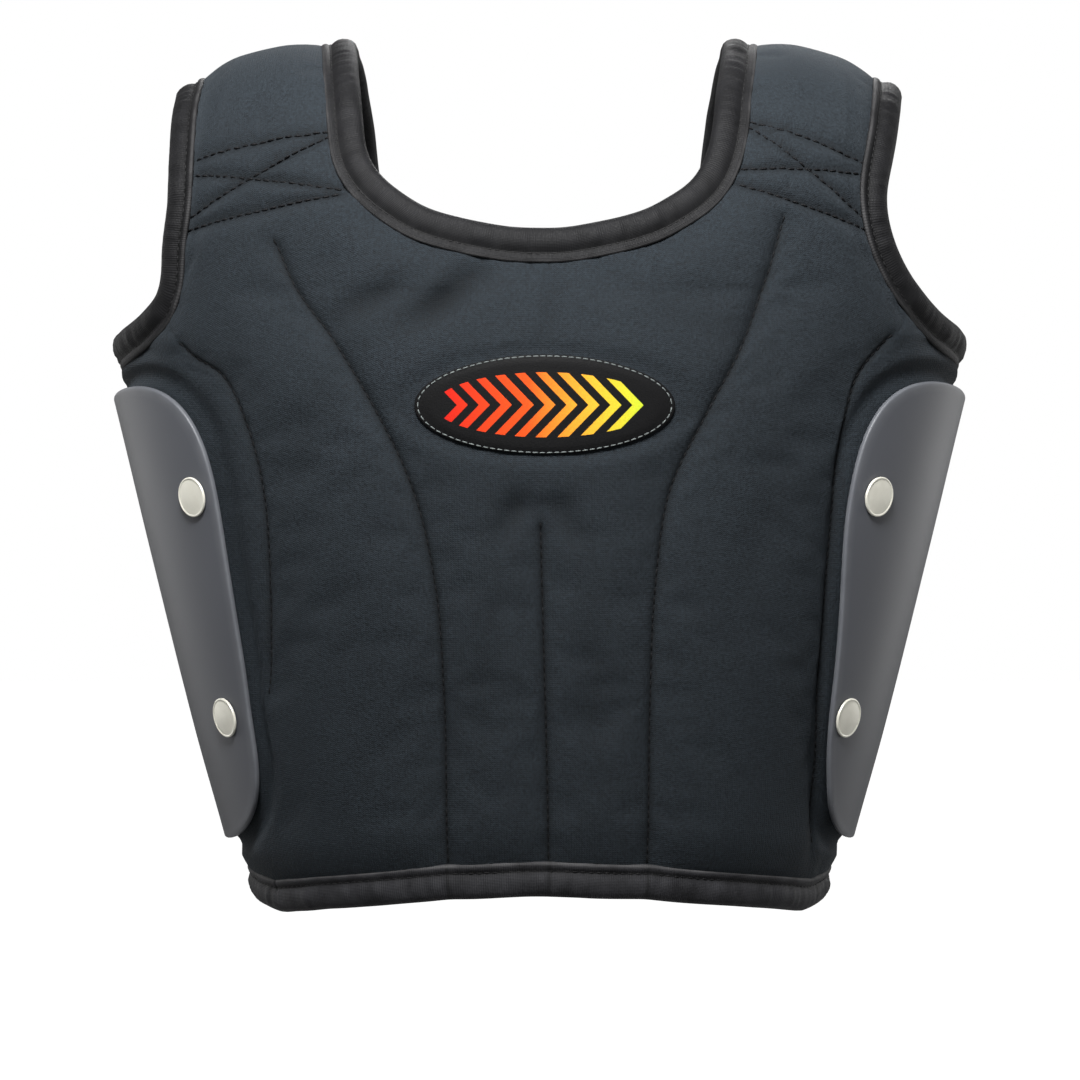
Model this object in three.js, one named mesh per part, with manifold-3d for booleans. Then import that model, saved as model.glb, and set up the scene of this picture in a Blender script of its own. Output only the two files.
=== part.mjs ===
// A padded sports rib protector: a pull-over vest of foam and knitted fabric with taped edges,
// a curved plastic plate riveted over each flank, and a sewn oval patch on the chest.
// Millimetres, +Z up, the front of the vest towards -Y. Left and right are as seen from the front,
// so right is towards +X, at the wearer's left hand.
// The origin is midway between the two shoulders, at the height where the straps rest on them.
import * as THREE from "three";
import { mergeVertices } from "three/addons/utils/BufferGeometryUtils.js";
import Module from "manifold-3d";

const wasm = await Module();
wasm.setup();

// Size of the torso that the vest is shaped round: its lining lies on this form
const VEST_HEIGHT = 362;
const CHEST_HALF_WIDTH = 180;
const FRONT_DEPTH = 114;
const BACK_DEPTH = 104;
const SHOULDER_START = 0.69; // share of the height where the chest begins to close over the shoulders
const ROUNDNESS = 2.2; // exponent of the horizontal section: 2 is an ellipse, more is boxier
const SHOULDER_SLOPE = 4.5; // exponent of the closing in width: more gives squarer shoulders
const SHOULDER_ARCH = 2.4; // exponent of the closing in depth

// Shoulder straps, as distances of their edges from the middle, where front and back meet
const STRAP_INNER = 80;
const STRAP_WIDTH = 68;

// Padding, its sewn channels and its flattened edge
const PAD_THICKNESS = 8;
const EDGE_THICKNESS = 4;
const SEAM_DEPTH = 4.5;
const SEAM_HALF_WIDTH = 6;
const EDGE_BAND = 14; // how far in from the edge the padding is flattened
const SHOULDER_SEAM_GAP = 0.3;
const BAND_START = 2; // rows below the neckline's lowest point where its flattened band begins
const BAND_RUN = 1.5; // rows over which it reaches its full width

// Edge tape, folded over the flattened edge
const TAPE_WIDTH = 11;
const TAPE_THICKNESS = 1.2;
const TAPE_CLEARANCE = 0.6;

// Flank plates
const PLATE_THICKNESS = 2.5;
const PLATE_GAP = 1; // between the padding and the plate where it is riveted
const PLATE_REAR_GAP = 2.8; // where the plate's rear end closes on the loop field
const PLATE_LOW = 27.5;
const PLATE_HIGH = 221;
const PLATE_FALL = 20; // how much lower the upper edge is at the rear than at the front
const PLATE_HALF_TURN = 34.5; // degrees from the flank to the plate's front and rear edges
const PLATE_SQUARENESS = 4; // of its rounded outline: 2 is an oval, more is boxier
const PLATE_REAR_TURN = { from: 92, to: 108 }; // where the plate rises off the padding

// Rivets, two in the front part of each plate
const RIVET_CAP_RADIUS = 8.2;
const RIVET_CAP_HEIGHT = 2.6;
const RIVET_SHANK_RADIUS = 2.5;
const RIVET_WASHER_RADIUS = 6.5;
const RIVET_WASHER_THICKNESS = 1.4;
const RIVET_BEVEL = 0.8;
const RIVET_CLEARANCE = 0.3;
const WASHER_CLEARANCE = 2.1; // the flat washer lies in a hollow curve
const RIVETS = {
  upper: { turn: 61, height: 0.468 },
  lower: { turn: 62.2, height: 0.22 },
};

// Oval patch on the chest and loop fields that the rear ends of the plates close on
const PATCH_HALF_LENGTH = 51;
const PATCH_HALF_HEIGHT = 20;
const PATCH_HEIGHT_SHARE = 0.562;
const PATCH_SHIFT = 2; // it is sewn on a little to the right
const PATCH_THICKNESS = 1.2;
const LOOP_THICKNESS = 1.2;
const LOOP_FIELD = { fromTurn: 109, toTurn: 135, lowShare: 0.2, highShare: 0.47 };
const LAID_CLEARANCE = 0.3;

// How finely the sheets and the round pieces are divided: cells across and up, and sides
const PLATE_CELLS = { across: 12, up: 10 };
const PATCH_CELLS = { across: 10, up: 6 };
const LOOP_CELLS = { across: 6, up: 6 };
const ROUND_SIDES = 12;

// Horizontal sections of the torso up to the shoulder start, as shares of the sizes above
const SECTIONS = [
  { height: 0.0, width: 0.644, front: 0.895, back: 0.923 },
  { height: 0.066, width: 0.675, front: 0.912, back: 0.932 },
  { height: 0.207, width: 0.754, front: 0.939, back: 0.952 },
  { height: 0.414, width: 0.858, front: 0.987, back: 0.981 },
  { height: 0.602, width: 0.95, front: 1.0, back: 1.0 },
  { height: 0.69, width: 1.0, front: 0.965, back: 0.981 },
];

// How the vest is cut. Each row is a line across one panel, from the hem up to the shoulder, and gives
// five places on each side: the middle, the neck line (which joins the neckline at its corner and
// follows it up), the long seam, the pocket seam beside the plate, and the outer edge (the flank,
// then the armhole). Above the neckline's lowest point a row has no middle.
// A place is [turn in degrees from the panel's middle, height as a share of the vest's height].
const FRONT_CUT = {
  right: [
    { middle: [0, 0.03], neck: [12, 0.028], seam: [23.2, 0.026], pocket: [66, 0], edge: [97, 0.014] },
    { middle: [0, 0.138], neck: [12.5, 0.135], seam: [22.8, 0.13], pocket: [61.5, 0.11], edge: [97, 0.116] },
    { middle: [0, 0.254], neck: [12.5, 0.25], seam: [22.5, 0.243], pocket: [57.6, 0.232], edge: [97, 0.232] },
    { middle: [0, 0.37], neck: [12.5, 0.366], seam: [22.7, 0.36], pocket: [55.8, 0.343], edge: [97, 0.348] },
    { middle: [0, 0.475], neck: [14, 0.472], seam: [25, 0.47], pocket: [54.9, 0.448], edge: [97, 0.459] },
    { middle: [0, 0.575], neck: [16.5, 0.572], seam: [31.8, 0.56], pocket: [54.9, 0.535], edge: [97, 0.55] },
    { middle: [0, 0.65], neck: [19, 0.655], seam: [37.8, 0.632], pocket: [56.6, 0.6], edge: [96.5, 0.613] },
    { middle: [0, 0.69], neck: [22, 0.705], seam: [41.4, 0.69], pocket: [60.6, 0.636], edge: [90, 0.641] },
    { middle: [0, 0.747], neck: [24, 0.772], seam: [43.6, 0.733], pocket: [63.4, 0.66], edge: [79.5, 0.654] },
    { neck: [28, 0.786], seam: [44.8, 0.757], pocket: [61, 0.684], edge: [71.6, 0.67] },
    { neck: [31.2, 0.799], seam: [46, 0.78], pocket: [58, 0.716], edge: [66, 0.7] },
    { neck: [33.8, 0.813], seam: [47.2, 0.803], pocket: [55.8, 0.757], edge: [62.2, 0.75] },
    { neck: [36.2, 0.832], seam: [48.6, 0.831], pocket: [55.4, 0.804], edge: [62, 0.8] },
  ],
  left: [
    { middle: [0, 0.03], neck: [11, 0.028], seam: [19.6, 0.026], pocket: [63, 0], edge: [97, 0.014] },
    { middle: [0, 0.138], neck: [11.5, 0.135], seam: [19.6, 0.13], pocket: [58, 0.11], edge: [97, 0.116] },
    { middle: [0, 0.254], neck: [11.5, 0.25], seam: [19.5, 0.243], pocket: [54.4, 0.232], edge: [97, 0.232] },
    { middle: [0, 0.37], neck: [12, 0.366], seam: [20.4, 0.36], pocket: [51.7, 0.343], edge: [97, 0.348] },
    { middle: [0, 0.475], neck: [14, 0.472], seam: [24.2, 0.47], pocket: [50.6, 0.448], edge: [97, 0.459] },
    { middle: [0, 0.575], neck: [16.5, 0.572], seam: [31, 0.56], pocket: [52.2, 0.53], edge: [97, 0.55] },
    { middle: [0, 0.65], neck: [19, 0.655], seam: [37.7, 0.63], pocket: [56.2, 0.598], edge: [96.5, 0.613] },
    { middle: [0, 0.69], neck: [22, 0.705], seam: [44.2, 0.686], pocket: [61.5, 0.624], edge: [89.5, 0.642] },
    { middle: [0, 0.747], neck: [24.4, 0.772], seam: [47.4, 0.731], pocket: [65, 0.655], edge: [79.5, 0.65] },
    { neck: [28.4, 0.786], seam: [49, 0.756], pocket: [63.4, 0.684], edge: [71.2, 0.667] },
    { neck: [31.6, 0.799], seam: [50.4, 0.782], pocket: [61, 0.718], edge: [66.8, 0.694] },
    { neck: [34.4, 0.813], seam: [51.7, 0.806], pocket: [59.2, 0.76], edge: [66.1, 0.748] },
    { neck: [37, 0.832], seam: [53.2, 0.831], pocket: [59.2, 0.804], edge: [66.2, 0.8] },
  ],
};
const BACK_HALF = [
  { middle: [0, 0.014], neck: [12, 0.014], seam: [22, 0.012], pocket: [52, 0.01], edge: [78, 0.014] },
  { middle: [0, 0.126], neck: [12.5, 0.126], seam: [22, 0.122], pocket: [51.5, 0.118], edge: [78, 0.116] },
  { middle: [0, 0.242], neck: [12.5, 0.242], seam: [22.5, 0.238], pocket: [51, 0.234], edge: [78, 0.232] },
  { middle: [0, 0.358], neck: [12.5, 0.358], seam: [23.5, 0.354], pocket: [50.5, 0.348], edge: [78, 0.348] },
  { middle: [0, 0.468], neck: [14, 0.466], seam: [26, 0.462], pocket: [50.5, 0.455], edge: [78, 0.459] },
  { middle: [0, 0.575], neck: [16.5, 0.57], seam: [31, 0.56], pocket: [51.5, 0.545], edge: [78, 0.55] },
  { middle: [0, 0.66], neck: [19.8, 0.658], seam: [36.8, 0.632], pocket: [53.3, 0.6], edge: [77.6, 0.61] },
  { middle: [0, 0.7], neck: [23.5, 0.707], seam: [41.8, 0.687], pocket: [57.3, 0.64], edge: [75.5, 0.637] },
  { middle: [0, 0.755], neck: [26.5, 0.778], seam: [45.2, 0.737], pocket: [60.3, 0.668], edge: [71.5, 0.65] },
  { neck: [30.4, 0.789], seam: [47, 0.761], pocket: [59.5, 0.69], edge: [68, 0.668] },
  { neck: [33.8, 0.801], seam: [48.5, 0.784], pocket: [58.5, 0.718], edge: [66, 0.7] },
  { neck: [37, 0.816], seam: [50, 0.807], pocket: [58, 0.76], edge: [65, 0.75] },
  { neck: [39.8, 0.836], seam: [51.8, 0.832], pocket: [59, 0.805], edge: [65, 0.802] },
];
const BACK_CUT = { right: BACK_HALF, left: BACK_HALF };
const NECKLINE_ROW = 8; // the row at the lowest point of the neckline
const NECKLINE_DIP = 1.8; // how flat the neckline is at its lowest point: 1 is a V
const CENTRE_SEAM_ROWS = 4; // the front's short middle seam runs up to this row
const LONG_SEAM_ROWS = 10; // the front's long seams end at this row
const STRAP_ROWS = 3; // rows of the arch from the last row of the cut to the shoulder seam
const STRAP_SEAM_SHARE = 0.47; // where the long seam's line meets the shoulder seam
const STRAP_POCKET_INSET = 23; // from the strap's outer edge to the end of the pocket seam's line

const SIDES = { left: -1, right: 1 };
const DEGREE = Math.PI / 180;
const clamp = (x, low, high) => Math.min(high, Math.max(low, x));
const smooth = (x) => {
  const t = clamp(x, 0, 1);
  return t * t * (3 - 2 * t);
};

// One column of SECTIONS at a share of the height, on a smooth curve through its rows
function columnAt(column, share) {
  const last = SECTIONS.length - 1;
  const s = clamp(share, 0, SHOULDER_START);
  const i = clamp(SECTIONS.findLastIndex((row) => row.height <= s), 0, last - 1);
  const slope = (k) => {
    const a = SECTIONS[Math.max(k - 1, 0)];
    const b = SECTIONS[Math.min(k + 1, last)];
    return (b[column] - a[column]) / (b.height - a.height);
  };
  const [low, high] = [SECTIONS[i], SECTIONS[i + 1]];
  const step = high.height - low.height;
  const t = (s - low.height) / step;
  return (
    (2 * t ** 3 - 3 * t ** 2 + 1) * low[column] +
    (t ** 3 - 2 * t ** 2 + t) * step * slope(i) +
    (3 * t ** 2 - 2 * t ** 3) * high[column] +
    (t ** 3 - t ** 2) * step * slope(i + 1)
  );
}

// The torso's horizontal section at height z: half width, and depth to the front and the back
function sectionAt(z) {
  const share = z / VEST_HEIGHT;
  const closing = clamp((share - SHOULDER_START) / (1 - SHOULDER_START), 0, 1);
  const narrowing = Math.sqrt(1 - closing ** SHOULDER_SLOPE);
  const thinning = Math.sqrt(1 - closing ** SHOULDER_ARCH);
  return {
    width: CHEST_HALF_WIDTH * columnAt("width", share) * narrowing,
    front: FRONT_DEPTH * columnAt("front", share) * thinning,
    back: BACK_DEPTH * columnAt("back", share) * thinning,
  };
}

// Below 1 inside the torso and above 1 outside it
function level(p) {
  if (p.z >= VEST_HEIGHT) return 2;
  const { width, front, back } = sectionAt(p.z);
  const depth = p.y < 0 ? front : back;
  return (Math.abs(p.x) / width) ** ROUNDNESS + (Math.abs(p.y) / depth) ** ROUNDNESS;
}

// The torso's outward normal at a point on it
function normalAt(p) {
  const h = 0.01;
  const slope = (axis) => {
    const ahead = p.clone();
    const behind = p.clone();
    ahead[axis] += h;
    behind[axis] -= h;
    return level(ahead) - level(behind);
  };
  return new THREE.Vector3(slope("x"), slope("y"), slope("z")).normalize();
}

// The point of the torso at a turn from the middle of the front, or of the back, and a height
function aroundTorso(turn, z, facing) {
  const [s, c] = [Math.sin(turn * DEGREE), Math.cos(turn * DEGREE)];
  const { width, front, back } = sectionAt(z);
  const depth = (facing === "front") === c >= 0 ? front : back;
  const reach =
    ((Math.abs(s) / width) ** ROUNDNESS + (Math.abs(c) / depth) ** ROUNDNESS) ** (-1 / ROUNDNESS);
  const ahead = facing === "front" ? -1 : 1;
  return new THREE.Vector3(reach * s, ahead * reach * c, z);
}

// The point of the torso's front or back seen at x, z from straight ahead
function aheadOfTorso(x, z, facing) {
  const section = sectionAt(z);
  const share = clamp(1 - (Math.abs(x) / section.width) ** ROUNDNESS, 0, 1);
  const ahead = facing === "front" ? -1 : 1;
  return new THREE.Vector3(x, ahead * section[facing] * share ** (1 / ROUNDNESS), z);
}

// Height of the torso's ridge, where front meets back, at a distance from the middle
function ridgeHeight(x) {
  const closing = (1 - (Math.abs(x) / CHEST_HALF_WIDTH) ** 2) ** (1 / SHOULDER_SLOPE);
  return VEST_HEIGHT * (SHOULDER_START + (1 - SHOULDER_START) * closing);
}

// Moves a point that is near the torso onto it, along a ray from the torso's core
function ontoTorso(p) {
  const core = new THREE.Vector3(0, 0, Math.min(p.z, SHOULDER_START * VEST_HEIGHT));
  const ray = p.clone().sub(core);
  let [inside, outside] = [0, 2];
  for (let i = 0; i < 40; i++) {
    const middle = (inside + outside) / 2;
    if (level(core.clone().addScaledVector(ray, middle)) < 1) inside = middle;
    else outside = middle;
  }
  return core.addScaledVector(ray, inside);
}

const lifted = (p, lift) => p.clone().addScaledVector(normalAt(p), lift);
const towards = (a, b, distance) => a.clone().lerp(b, distance / a.distanceTo(b));

// A smooth line over the torso through one column of a panel's cut
function railOf(rows, column, facing, strapX) {
  const places = rows.map((row) => row[column]).filter((place) => place);
  const points = places.map(([turn, share]) => aroundTorso(turn, share * VEST_HEIGHT, facing));
  if (strapX !== undefined) points.push(...overShoulder(points.at(-1), strapX, facing));
  const curve = new THREE.CatmullRomCurve3(points, false, "centripetal");
  return (row) => curve.getPoint(row / (points.length - 1));
}

// Points from the top of a panel's cut up to the shoulder seam
function overShoulder(start, strapX, facing) {
  const points = [];
  for (let i = 1; i <= STRAP_ROWS; i++) {
    const rise = Math.sin((i / STRAP_ROWS) * 90 * DEGREE);
    const x = start.x + (strapX - start.x) * rise;
    points.push(aheadOfTorso(x, start.z + (ridgeHeight(x) - start.z) * rise, facing));
  }
  return points;
}

// The five lines that one half of a panel hangs between
function railsOf(rows, facing) {
  const outer = STRAP_INNER + STRAP_WIDTH;
  return {
    middle: railOf(rows, "middle", facing),
    neck: railOf(rows, "neck", facing, STRAP_INNER),
    seam: railOf(rows, "seam", facing, STRAP_INNER + STRAP_WIDTH * STRAP_SEAM_SHARE),
    pocket: railOf(rows, "pocket", facing, outer - STRAP_POCKET_INSET),
    edge: railOf(rows, "edge", facing, outer),
  };
}

// Columns of points across one half of a panel, counted from the middle
const NECK_COLUMN = 3;
const SEAM_COLUMN = 6;
const POCKET_COLUMN = 11;
const EDGE_COLUMN = 16;

// Points across one half of a panel at a row, from the middle to the outer edge
function pointsAcross(rails, row) {
  const [neck, seam, pocket, edge] = ["neck", "seam", "pocket", "edge"].map((name) => rails[name](row));
  const beforeSeam = towards(seam, neck, SEAM_HALF_WIDTH);
  const afterSeam = towards(seam, pocket, SEAM_HALF_WIDTH);
  const beforePocket = towards(pocket, seam, SEAM_HALF_WIDTH);
  const afterPocket = towards(pocket, edge, SEAM_HALF_WIDTH);
  const besideEdge = towards(edge, pocket, EDGE_BAND);
  const besideNeck = neck.clone().lerp(beforeSeam, 0.5);
  besideNeck.lerp(towards(neck, seam, EDGE_BAND), smooth((row - NECKLINE_ROW + BAND_START) / BAND_RUN));
  const points = [
    neck,
    besideNeck,
    beforeSeam,
    seam,
    afterSeam,
    afterSeam.clone().lerp(beforePocket, 1 / 3),
    afterSeam.clone().lerp(beforePocket, 2 / 3),
    beforePocket,
    pocket,
    afterPocket,
    afterPocket.clone().lerp(besideEdge, 1 / 3),
    afterPocket.clone().lerp(besideEdge, 2 / 3),
    besideEdge,
    edge,
  ];
  const middle = row <= NECKLINE_ROW ? rails.middle(row) : null;
  for (let column = NECK_COLUMN - 1; column >= 0; column--) {
    const share = column / NECK_COLUMN;
    const between = middle?.clone().lerp(neck, share);
    if (middle) between.z = middle.z + (neck.z - middle.z) * share ** NECKLINE_DIP;
    points.unshift(between);
  }
  return points.map((point) => point && ontoTorso(point));
}

// The rungs of one half of a panel, close together round the neck and the armhole, with one more
// above the hem and one below the neckline where the flattened edge ends
function rungsOf(rails, lastRow) {
  const rungs = [];
  for (let row = 0; row <= lastRow; row++) {
    rungs.push({ row, points: pointsAcross(rails, row) });
    if (row >= NECKLINE_ROW - 2 && row <= NECKLINE_ROW + 1) {
      rungs.push({ row: row + 0.5, points: pointsAcross(rails, row + 0.5) });
    }
  }
  const banded = (edge, within) =>
    edge.points.map((point, j) => point && ontoTorso(towards(point, within.points[j], EDGE_BAND)));
  rungs.splice(1, 0, { row: 0, points: banded(rungs[0], rungs[1]) });
  const neckline = rungs.findIndex(({ row }) => row === NECKLINE_ROW);
  const band = banded(rungs[neckline], rungs[neckline - 2]).slice(0, NECK_COLUMN + 1);
  rungs[neckline - 1].points.splice(0, band.length, ...band);
  return { rungs, neckline };
}

// Thickness of the padding at a row and column: flat under the tape, dented along the seams
function paddingAt(facing, row, column, lastRow) {
  const besideNeckline = row > NECKLINE_ROW - 1 && column <= NECK_COLUMN + 1;
  if (row === 0 || besideNeckline || column >= EDGE_COLUMN - 1) return EDGE_THICKNESS;
  const front = facing === "front";
  const inLongSeam = column === SEAM_COLUMN && (!front || row <= LONG_SEAM_ROWS);
  const inPocketSeam = front && column === POCKET_COLUMN && row < NECKLINE_ROW;
  const inMiddleSeam = front && column === 0 && row <= CENTRE_SEAM_ROWS;
  const dented = inLongSeam || inPocketSeam || inMiddleSeam || row === lastRow;
  return dented ? PAD_THICKNESS - SEAM_DEPTH : PAD_THICKNESS;
}

// The two triangles of a four-sided cell, cut along its shorter diagonal
function cellTriangles(points, [a, b, c, d]) {
  const along = points[a].distanceToSquared(points[c]);
  const across = points[b].distanceToSquared(points[d]);
  return along <= across ? [a, b, c, a, c, d] : [b, c, d, b, d, a];
}

// A closed solid from two facing sheets of points that share the same four-sided cells
function solidFromSheets(cells, outerPoints, innerPoints) {
  const count = outerPoints.length;
  const points = [...outerPoints, ...innerPoints];
  const triangles = [];
  const addQuad = (...cell) => triangles.push(...cellTriangles(points, cell));
  const used = new Set();
  for (const [a, b, c, d] of cells) {
    addQuad(a, b, c, d);
    addQuad(d + count, c + count, b + count, a + count);
    for (const [from, to] of [[a, b], [b, c], [c, d], [d, a]]) used.add(`${from},${to}`);
  }
  for (const name of used) {
    const [from, to] = name.split(",").map(Number);
    if (!used.has(`${to},${from}`)) addQuad(to, from, from + count, to + count);
  }
  return geometryOf(points, triangles);
}

// One panel of the vest: its solid, and the chains of edge points that the tapes follow
function buildPanel(cut, facing) {
  const lastRow = cut.right.length - 1 + STRAP_ROWS;
  const ahead = facing === "front" ? -1 : 1;
  const outerPoints = [];
  const innerPoints = [];
  const cells = [];
  const chains = { neck: {}, side: {}, hem: {} };
  let middleIds = [];
  for (const [half, side] of Object.entries(SIDES)) {
    const { rungs, neckline } = rungsOf(railsOf(cut[half], facing), lastRow);
    const ids = rungs.map(({ row, points }, i) =>
      points.map((point, column) => {
        if (!point) return null;
        if (column === 0 && middleIds[i] !== undefined) return middleIds[i];
        if (row === lastRow) point.y = ahead * (SHOULDER_SEAM_GAP / 2);
        point.x *= side;
        innerPoints.push(point);
        outerPoints.push(lifted(point, paddingAt(facing, row, column, lastRow)));
        return innerPoints.length - 1;
      }),
    );
    middleIds = ids.map((rung) => rung[0] ?? undefined);
    for (let i = 0; i + 1 < ids.length; i++) {
      for (let j = i < neckline ? 0 : NECK_COLUMN; j < EDGE_COLUMN; j++) {
        const cell = [ids[i][j], ids[i][j + 1], ids[i + 1][j + 1], ids[i + 1][j]];
        cells.push(side > 0 === (facing === "front") ? cell : cell.reverse());
      }
    }
    const pair = ([i, j], [iWithin, jWithin]) => ({
      edge: innerPoints[ids[i][j]],
      within: innerPoints[ids[iWithin][jWithin]],
    });
    const columns = ids[0].map((id, j) => j);
    const rows = ids.map((rung, i) => i);
    chains.hem[half] = columns.map((j) => pair([0, j], [1, j]));
    chains.side[half] = rows.slice(1).map((i) => pair([i, EDGE_COLUMN], [i, EDGE_COLUMN - 1]));
    chains.neck[half] = [
      ...columns.slice(0, NECK_COLUMN).map((j) => pair([neckline, j], [neckline - 1, j])),
      pair([neckline, NECK_COLUMN], [neckline - 1, NECK_COLUMN + 1]),
      ...rows.slice(neckline + 1).map((i) => pair([i, NECK_COLUMN], [i, NECK_COLUMN + 1])),
    ];
  }
  return { geometry: solidFromSheets(cells, outerPoints, innerPoints), chains };
}

// A tape folded over an edge: a C section carried along the pairs of edge and inner points
function buildTape(chain, closed) {
  const gap = EDGE_THICKNESS / 2 + TAPE_CLEARANCE;
  const skin = gap + TAPE_THICKNESS;
  const section = [
    [TAPE_WIDTH, skin],
    [-TAPE_CLEARANCE - TAPE_THICKNESS, skin],
    [-TAPE_CLEARANCE - TAPE_THICKNESS, -skin],
    [TAPE_WIDTH, -skin],
    [TAPE_WIDTH, -gap],
    [-TAPE_CLEARANCE, -gap],
    [-TAPE_CLEARANCE, gap],
    [TAPE_WIDTH, gap],
  ];
  const sides = section.length;
  const points = chain.flatMap(({ edge, within }) => {
    const up = normalAt(edge);
    const upWithin = normalAt(within);
    const middle = edge.clone().addScaledVector(up, EDGE_THICKNESS / 2);
    const middleWithin = within.clone().addScaledVector(upWithin, EDGE_THICKNESS / 2);
    const inward = middleWithin.sub(middle).normalize();
    const across = up.clone().addScaledVector(inward, -up.dot(inward)).normalize();
    return section.map(([along, out]) =>
      middle.clone().addScaledVector(inward, along).addScaledVector(across, out),
    );
  });
  const triangles = [];
  const rings = chain.length;
  const spans = closed ? rings : rings - 1;
  for (let i = 0; i < spans; i++) {
    for (let j = 0; j < sides; j++) {
      const next = (j + 1) % sides;
      const [ring, ringAfter] = [i * sides, ((i + 1) % rings) * sides];
      const cell = [ring + j, ring + next, ringAfter + next, ringAfter + j];
      triangles.push(...cellTriangles(points, cell));
    }
  }
  if (!closed) {
    const outline = section.map(([u, v]) => new THREE.Vector2(u, v));
    const cap = THREE.ShapeUtils.triangulateShape(outline, []).flat();
    const end = (rings - 1) * sides;
    for (let i = 0; i < cap.length; i += 3) {
      const [a, b, c] = cap.slice(i, i + 3);
      triangles.push(c, b, a, end + a, end + b, end + c);
    }
  }
  return facingOut(geometryOf(points, triangles));
}

// A geometry from points and triangles
function geometryOf(points, triangles) {
  const geometry = new THREE.BufferGeometry();
  geometry.setFromPoints(points);
  geometry.setIndex(triangles);
  return geometry;
}

// Turns a closed mesh right side out
function facingOut(geometry) {
  const p = geometry.getAttribute("position");
  const index = geometry.getIndex().array;
  const corner = (i) => new THREE.Vector3().fromBufferAttribute(p, index[i]);
  let volume = 0;
  for (let i = 0; i < index.length; i += 3) {
    volume += corner(i).dot(corner(i + 1).cross(corner(i + 2)));
  }
  if (volume < 0) geometry.setIndex(Array.from(index).reverse());
  return geometry;
}

// A thin sheet laid over the torso: a grid from -1 to 1 both ways, placed by a function
function buildLaidSheet(cellCount, place, thickness) {
  const { across: columns, up: rows } = cellCount;
  const outerPoints = [];
  const innerPoints = [];
  for (let i = 0; i <= rows; i++) {
    for (let j = 0; j <= columns; j++) {
      const { point, lift } = place((2 * j) / columns - 1, (2 * i) / rows - 1);
      innerPoints.push(lifted(point, lift));
      outerPoints.push(lifted(point, lift + thickness));
    }
  }
  const cells = [];
  for (let i = 0; i < rows; i++) {
    for (let j = 0; j < columns; j++) {
      const a = i * (columns + 1) + j;
      cells.push([a, a + 1, a + columns + 2, a + columns + 1]);
    }
  }
  return facingOut(solidFromSheets(cells, outerPoints, innerPoints));
}

// Pulls a square grid point inside a rounded outline: 2 gives an ellipse, more a rounder rectangle
function rounded(u, v, squareness) {
  const reach = Math.max(Math.abs(u), Math.abs(v));
  const norm = (Math.abs(u) ** squareness + Math.abs(v) ** squareness) ** (1 / squareness);
  return norm === 0 ? [0, 0] : [(u * reach) / norm, (v * reach) / norm];
}

// How far the plate's inner face stands off the lining at a turn from the front's middle
function plateLift(turn) {
  const { from, to } = PLATE_REAR_TURN;
  const rear = smooth((turn - from) / (to - from));
  return PAD_THICKNESS + PLATE_GAP + (PLATE_REAR_GAP - PLATE_GAP) * rear;
}

// A flank plate: a curved shell, a rounded oblong in turn and height
function buildPlate(side) {
  const middle = (PLATE_LOW + PLATE_HIGH) / 2;
  const place = (u, v) => {
    const [across, up] = rounded(u, v, PLATE_SQUARENESS);
    const high = PLATE_HIGH - (PLATE_FALL * (across + 1)) / 2;
    const turn = 90 + across * PLATE_HALF_TURN;
    const rise = up > 0 ? up * (high - middle) : up * (middle - PLATE_LOW);
    const point = aroundTorso(turn, middle + rise, "front");
    point.x *= side;
    return { point, lift: plateLift(turn) };
  };
  return buildLaidSheet(PLATE_CELLS, place, PLATE_THICKNESS);
}

// The loop field on the back panel under the rear end of a plate
function buildLoopField(side) {
  const place = (u, v) => {
    const turn = LOOP_FIELD.fromTurn + ((u + 1) / 2) * (LOOP_FIELD.toTurn - LOOP_FIELD.fromTurn);
    const share = LOOP_FIELD.lowShare + ((v + 1) / 2) * (LOOP_FIELD.highShare - LOOP_FIELD.lowShare);
    const point = aroundTorso(turn, share * VEST_HEIGHT, "front");
    point.x *= side;
    return { point, lift: PAD_THICKNESS + LAID_CLEARANCE };
  };
  return buildLaidSheet(LOOP_CELLS, place, LOOP_THICKNESS);
}

// The oval patch on the chest
function buildPatch() {
  const place = (u, v) => {
    const [across, up] = rounded(u, v, 2);
    const x = PATCH_SHIFT + across * PATCH_HALF_LENGTH;
    const point = aheadOfTorso(x, PATCH_HEIGHT_SHARE * VEST_HEIGHT + up * PATCH_HALF_HEIGHT, "front");
    return { point, lift: PAD_THICKNESS + LAID_CLEARANCE };
  };
  return buildLaidSheet(PATCH_CELLS, place, PATCH_THICKNESS);
}

// A rivet turned about its own axis, with the plate's outer face at 0 and its washer inside the vest
function buildRivet(grip) {
  const under = RIVET_CLEARANCE;
  const depth = grip + WASHER_CLEARANCE;
  const profile = [
    [0, -depth - RIVET_WASHER_THICKNESS],
    [RIVET_WASHER_RADIUS - RIVET_BEVEL, -depth - RIVET_WASHER_THICKNESS],
    [RIVET_WASHER_RADIUS, -depth - RIVET_WASHER_THICKNESS + RIVET_BEVEL],
    [RIVET_WASHER_RADIUS, -depth],
    [RIVET_SHANK_RADIUS, -depth],
    [RIVET_SHANK_RADIUS, under],
    [RIVET_CAP_RADIUS, under],
    [RIVET_CAP_RADIUS, under + RIVET_CAP_HEIGHT / 3],
    [RIVET_CAP_RADIUS * 0.9, under + RIVET_CAP_HEIGHT * 0.72],
    [RIVET_CAP_RADIUS * 0.6, under + RIVET_CAP_HEIGHT * 0.92],
    [0, under + RIVET_CAP_HEIGHT],
  ];
  return new THREE.LatheGeometry(profile.map(([r, h]) => new THREE.Vector2(r, h)), ROUND_SIDES);
}

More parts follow.
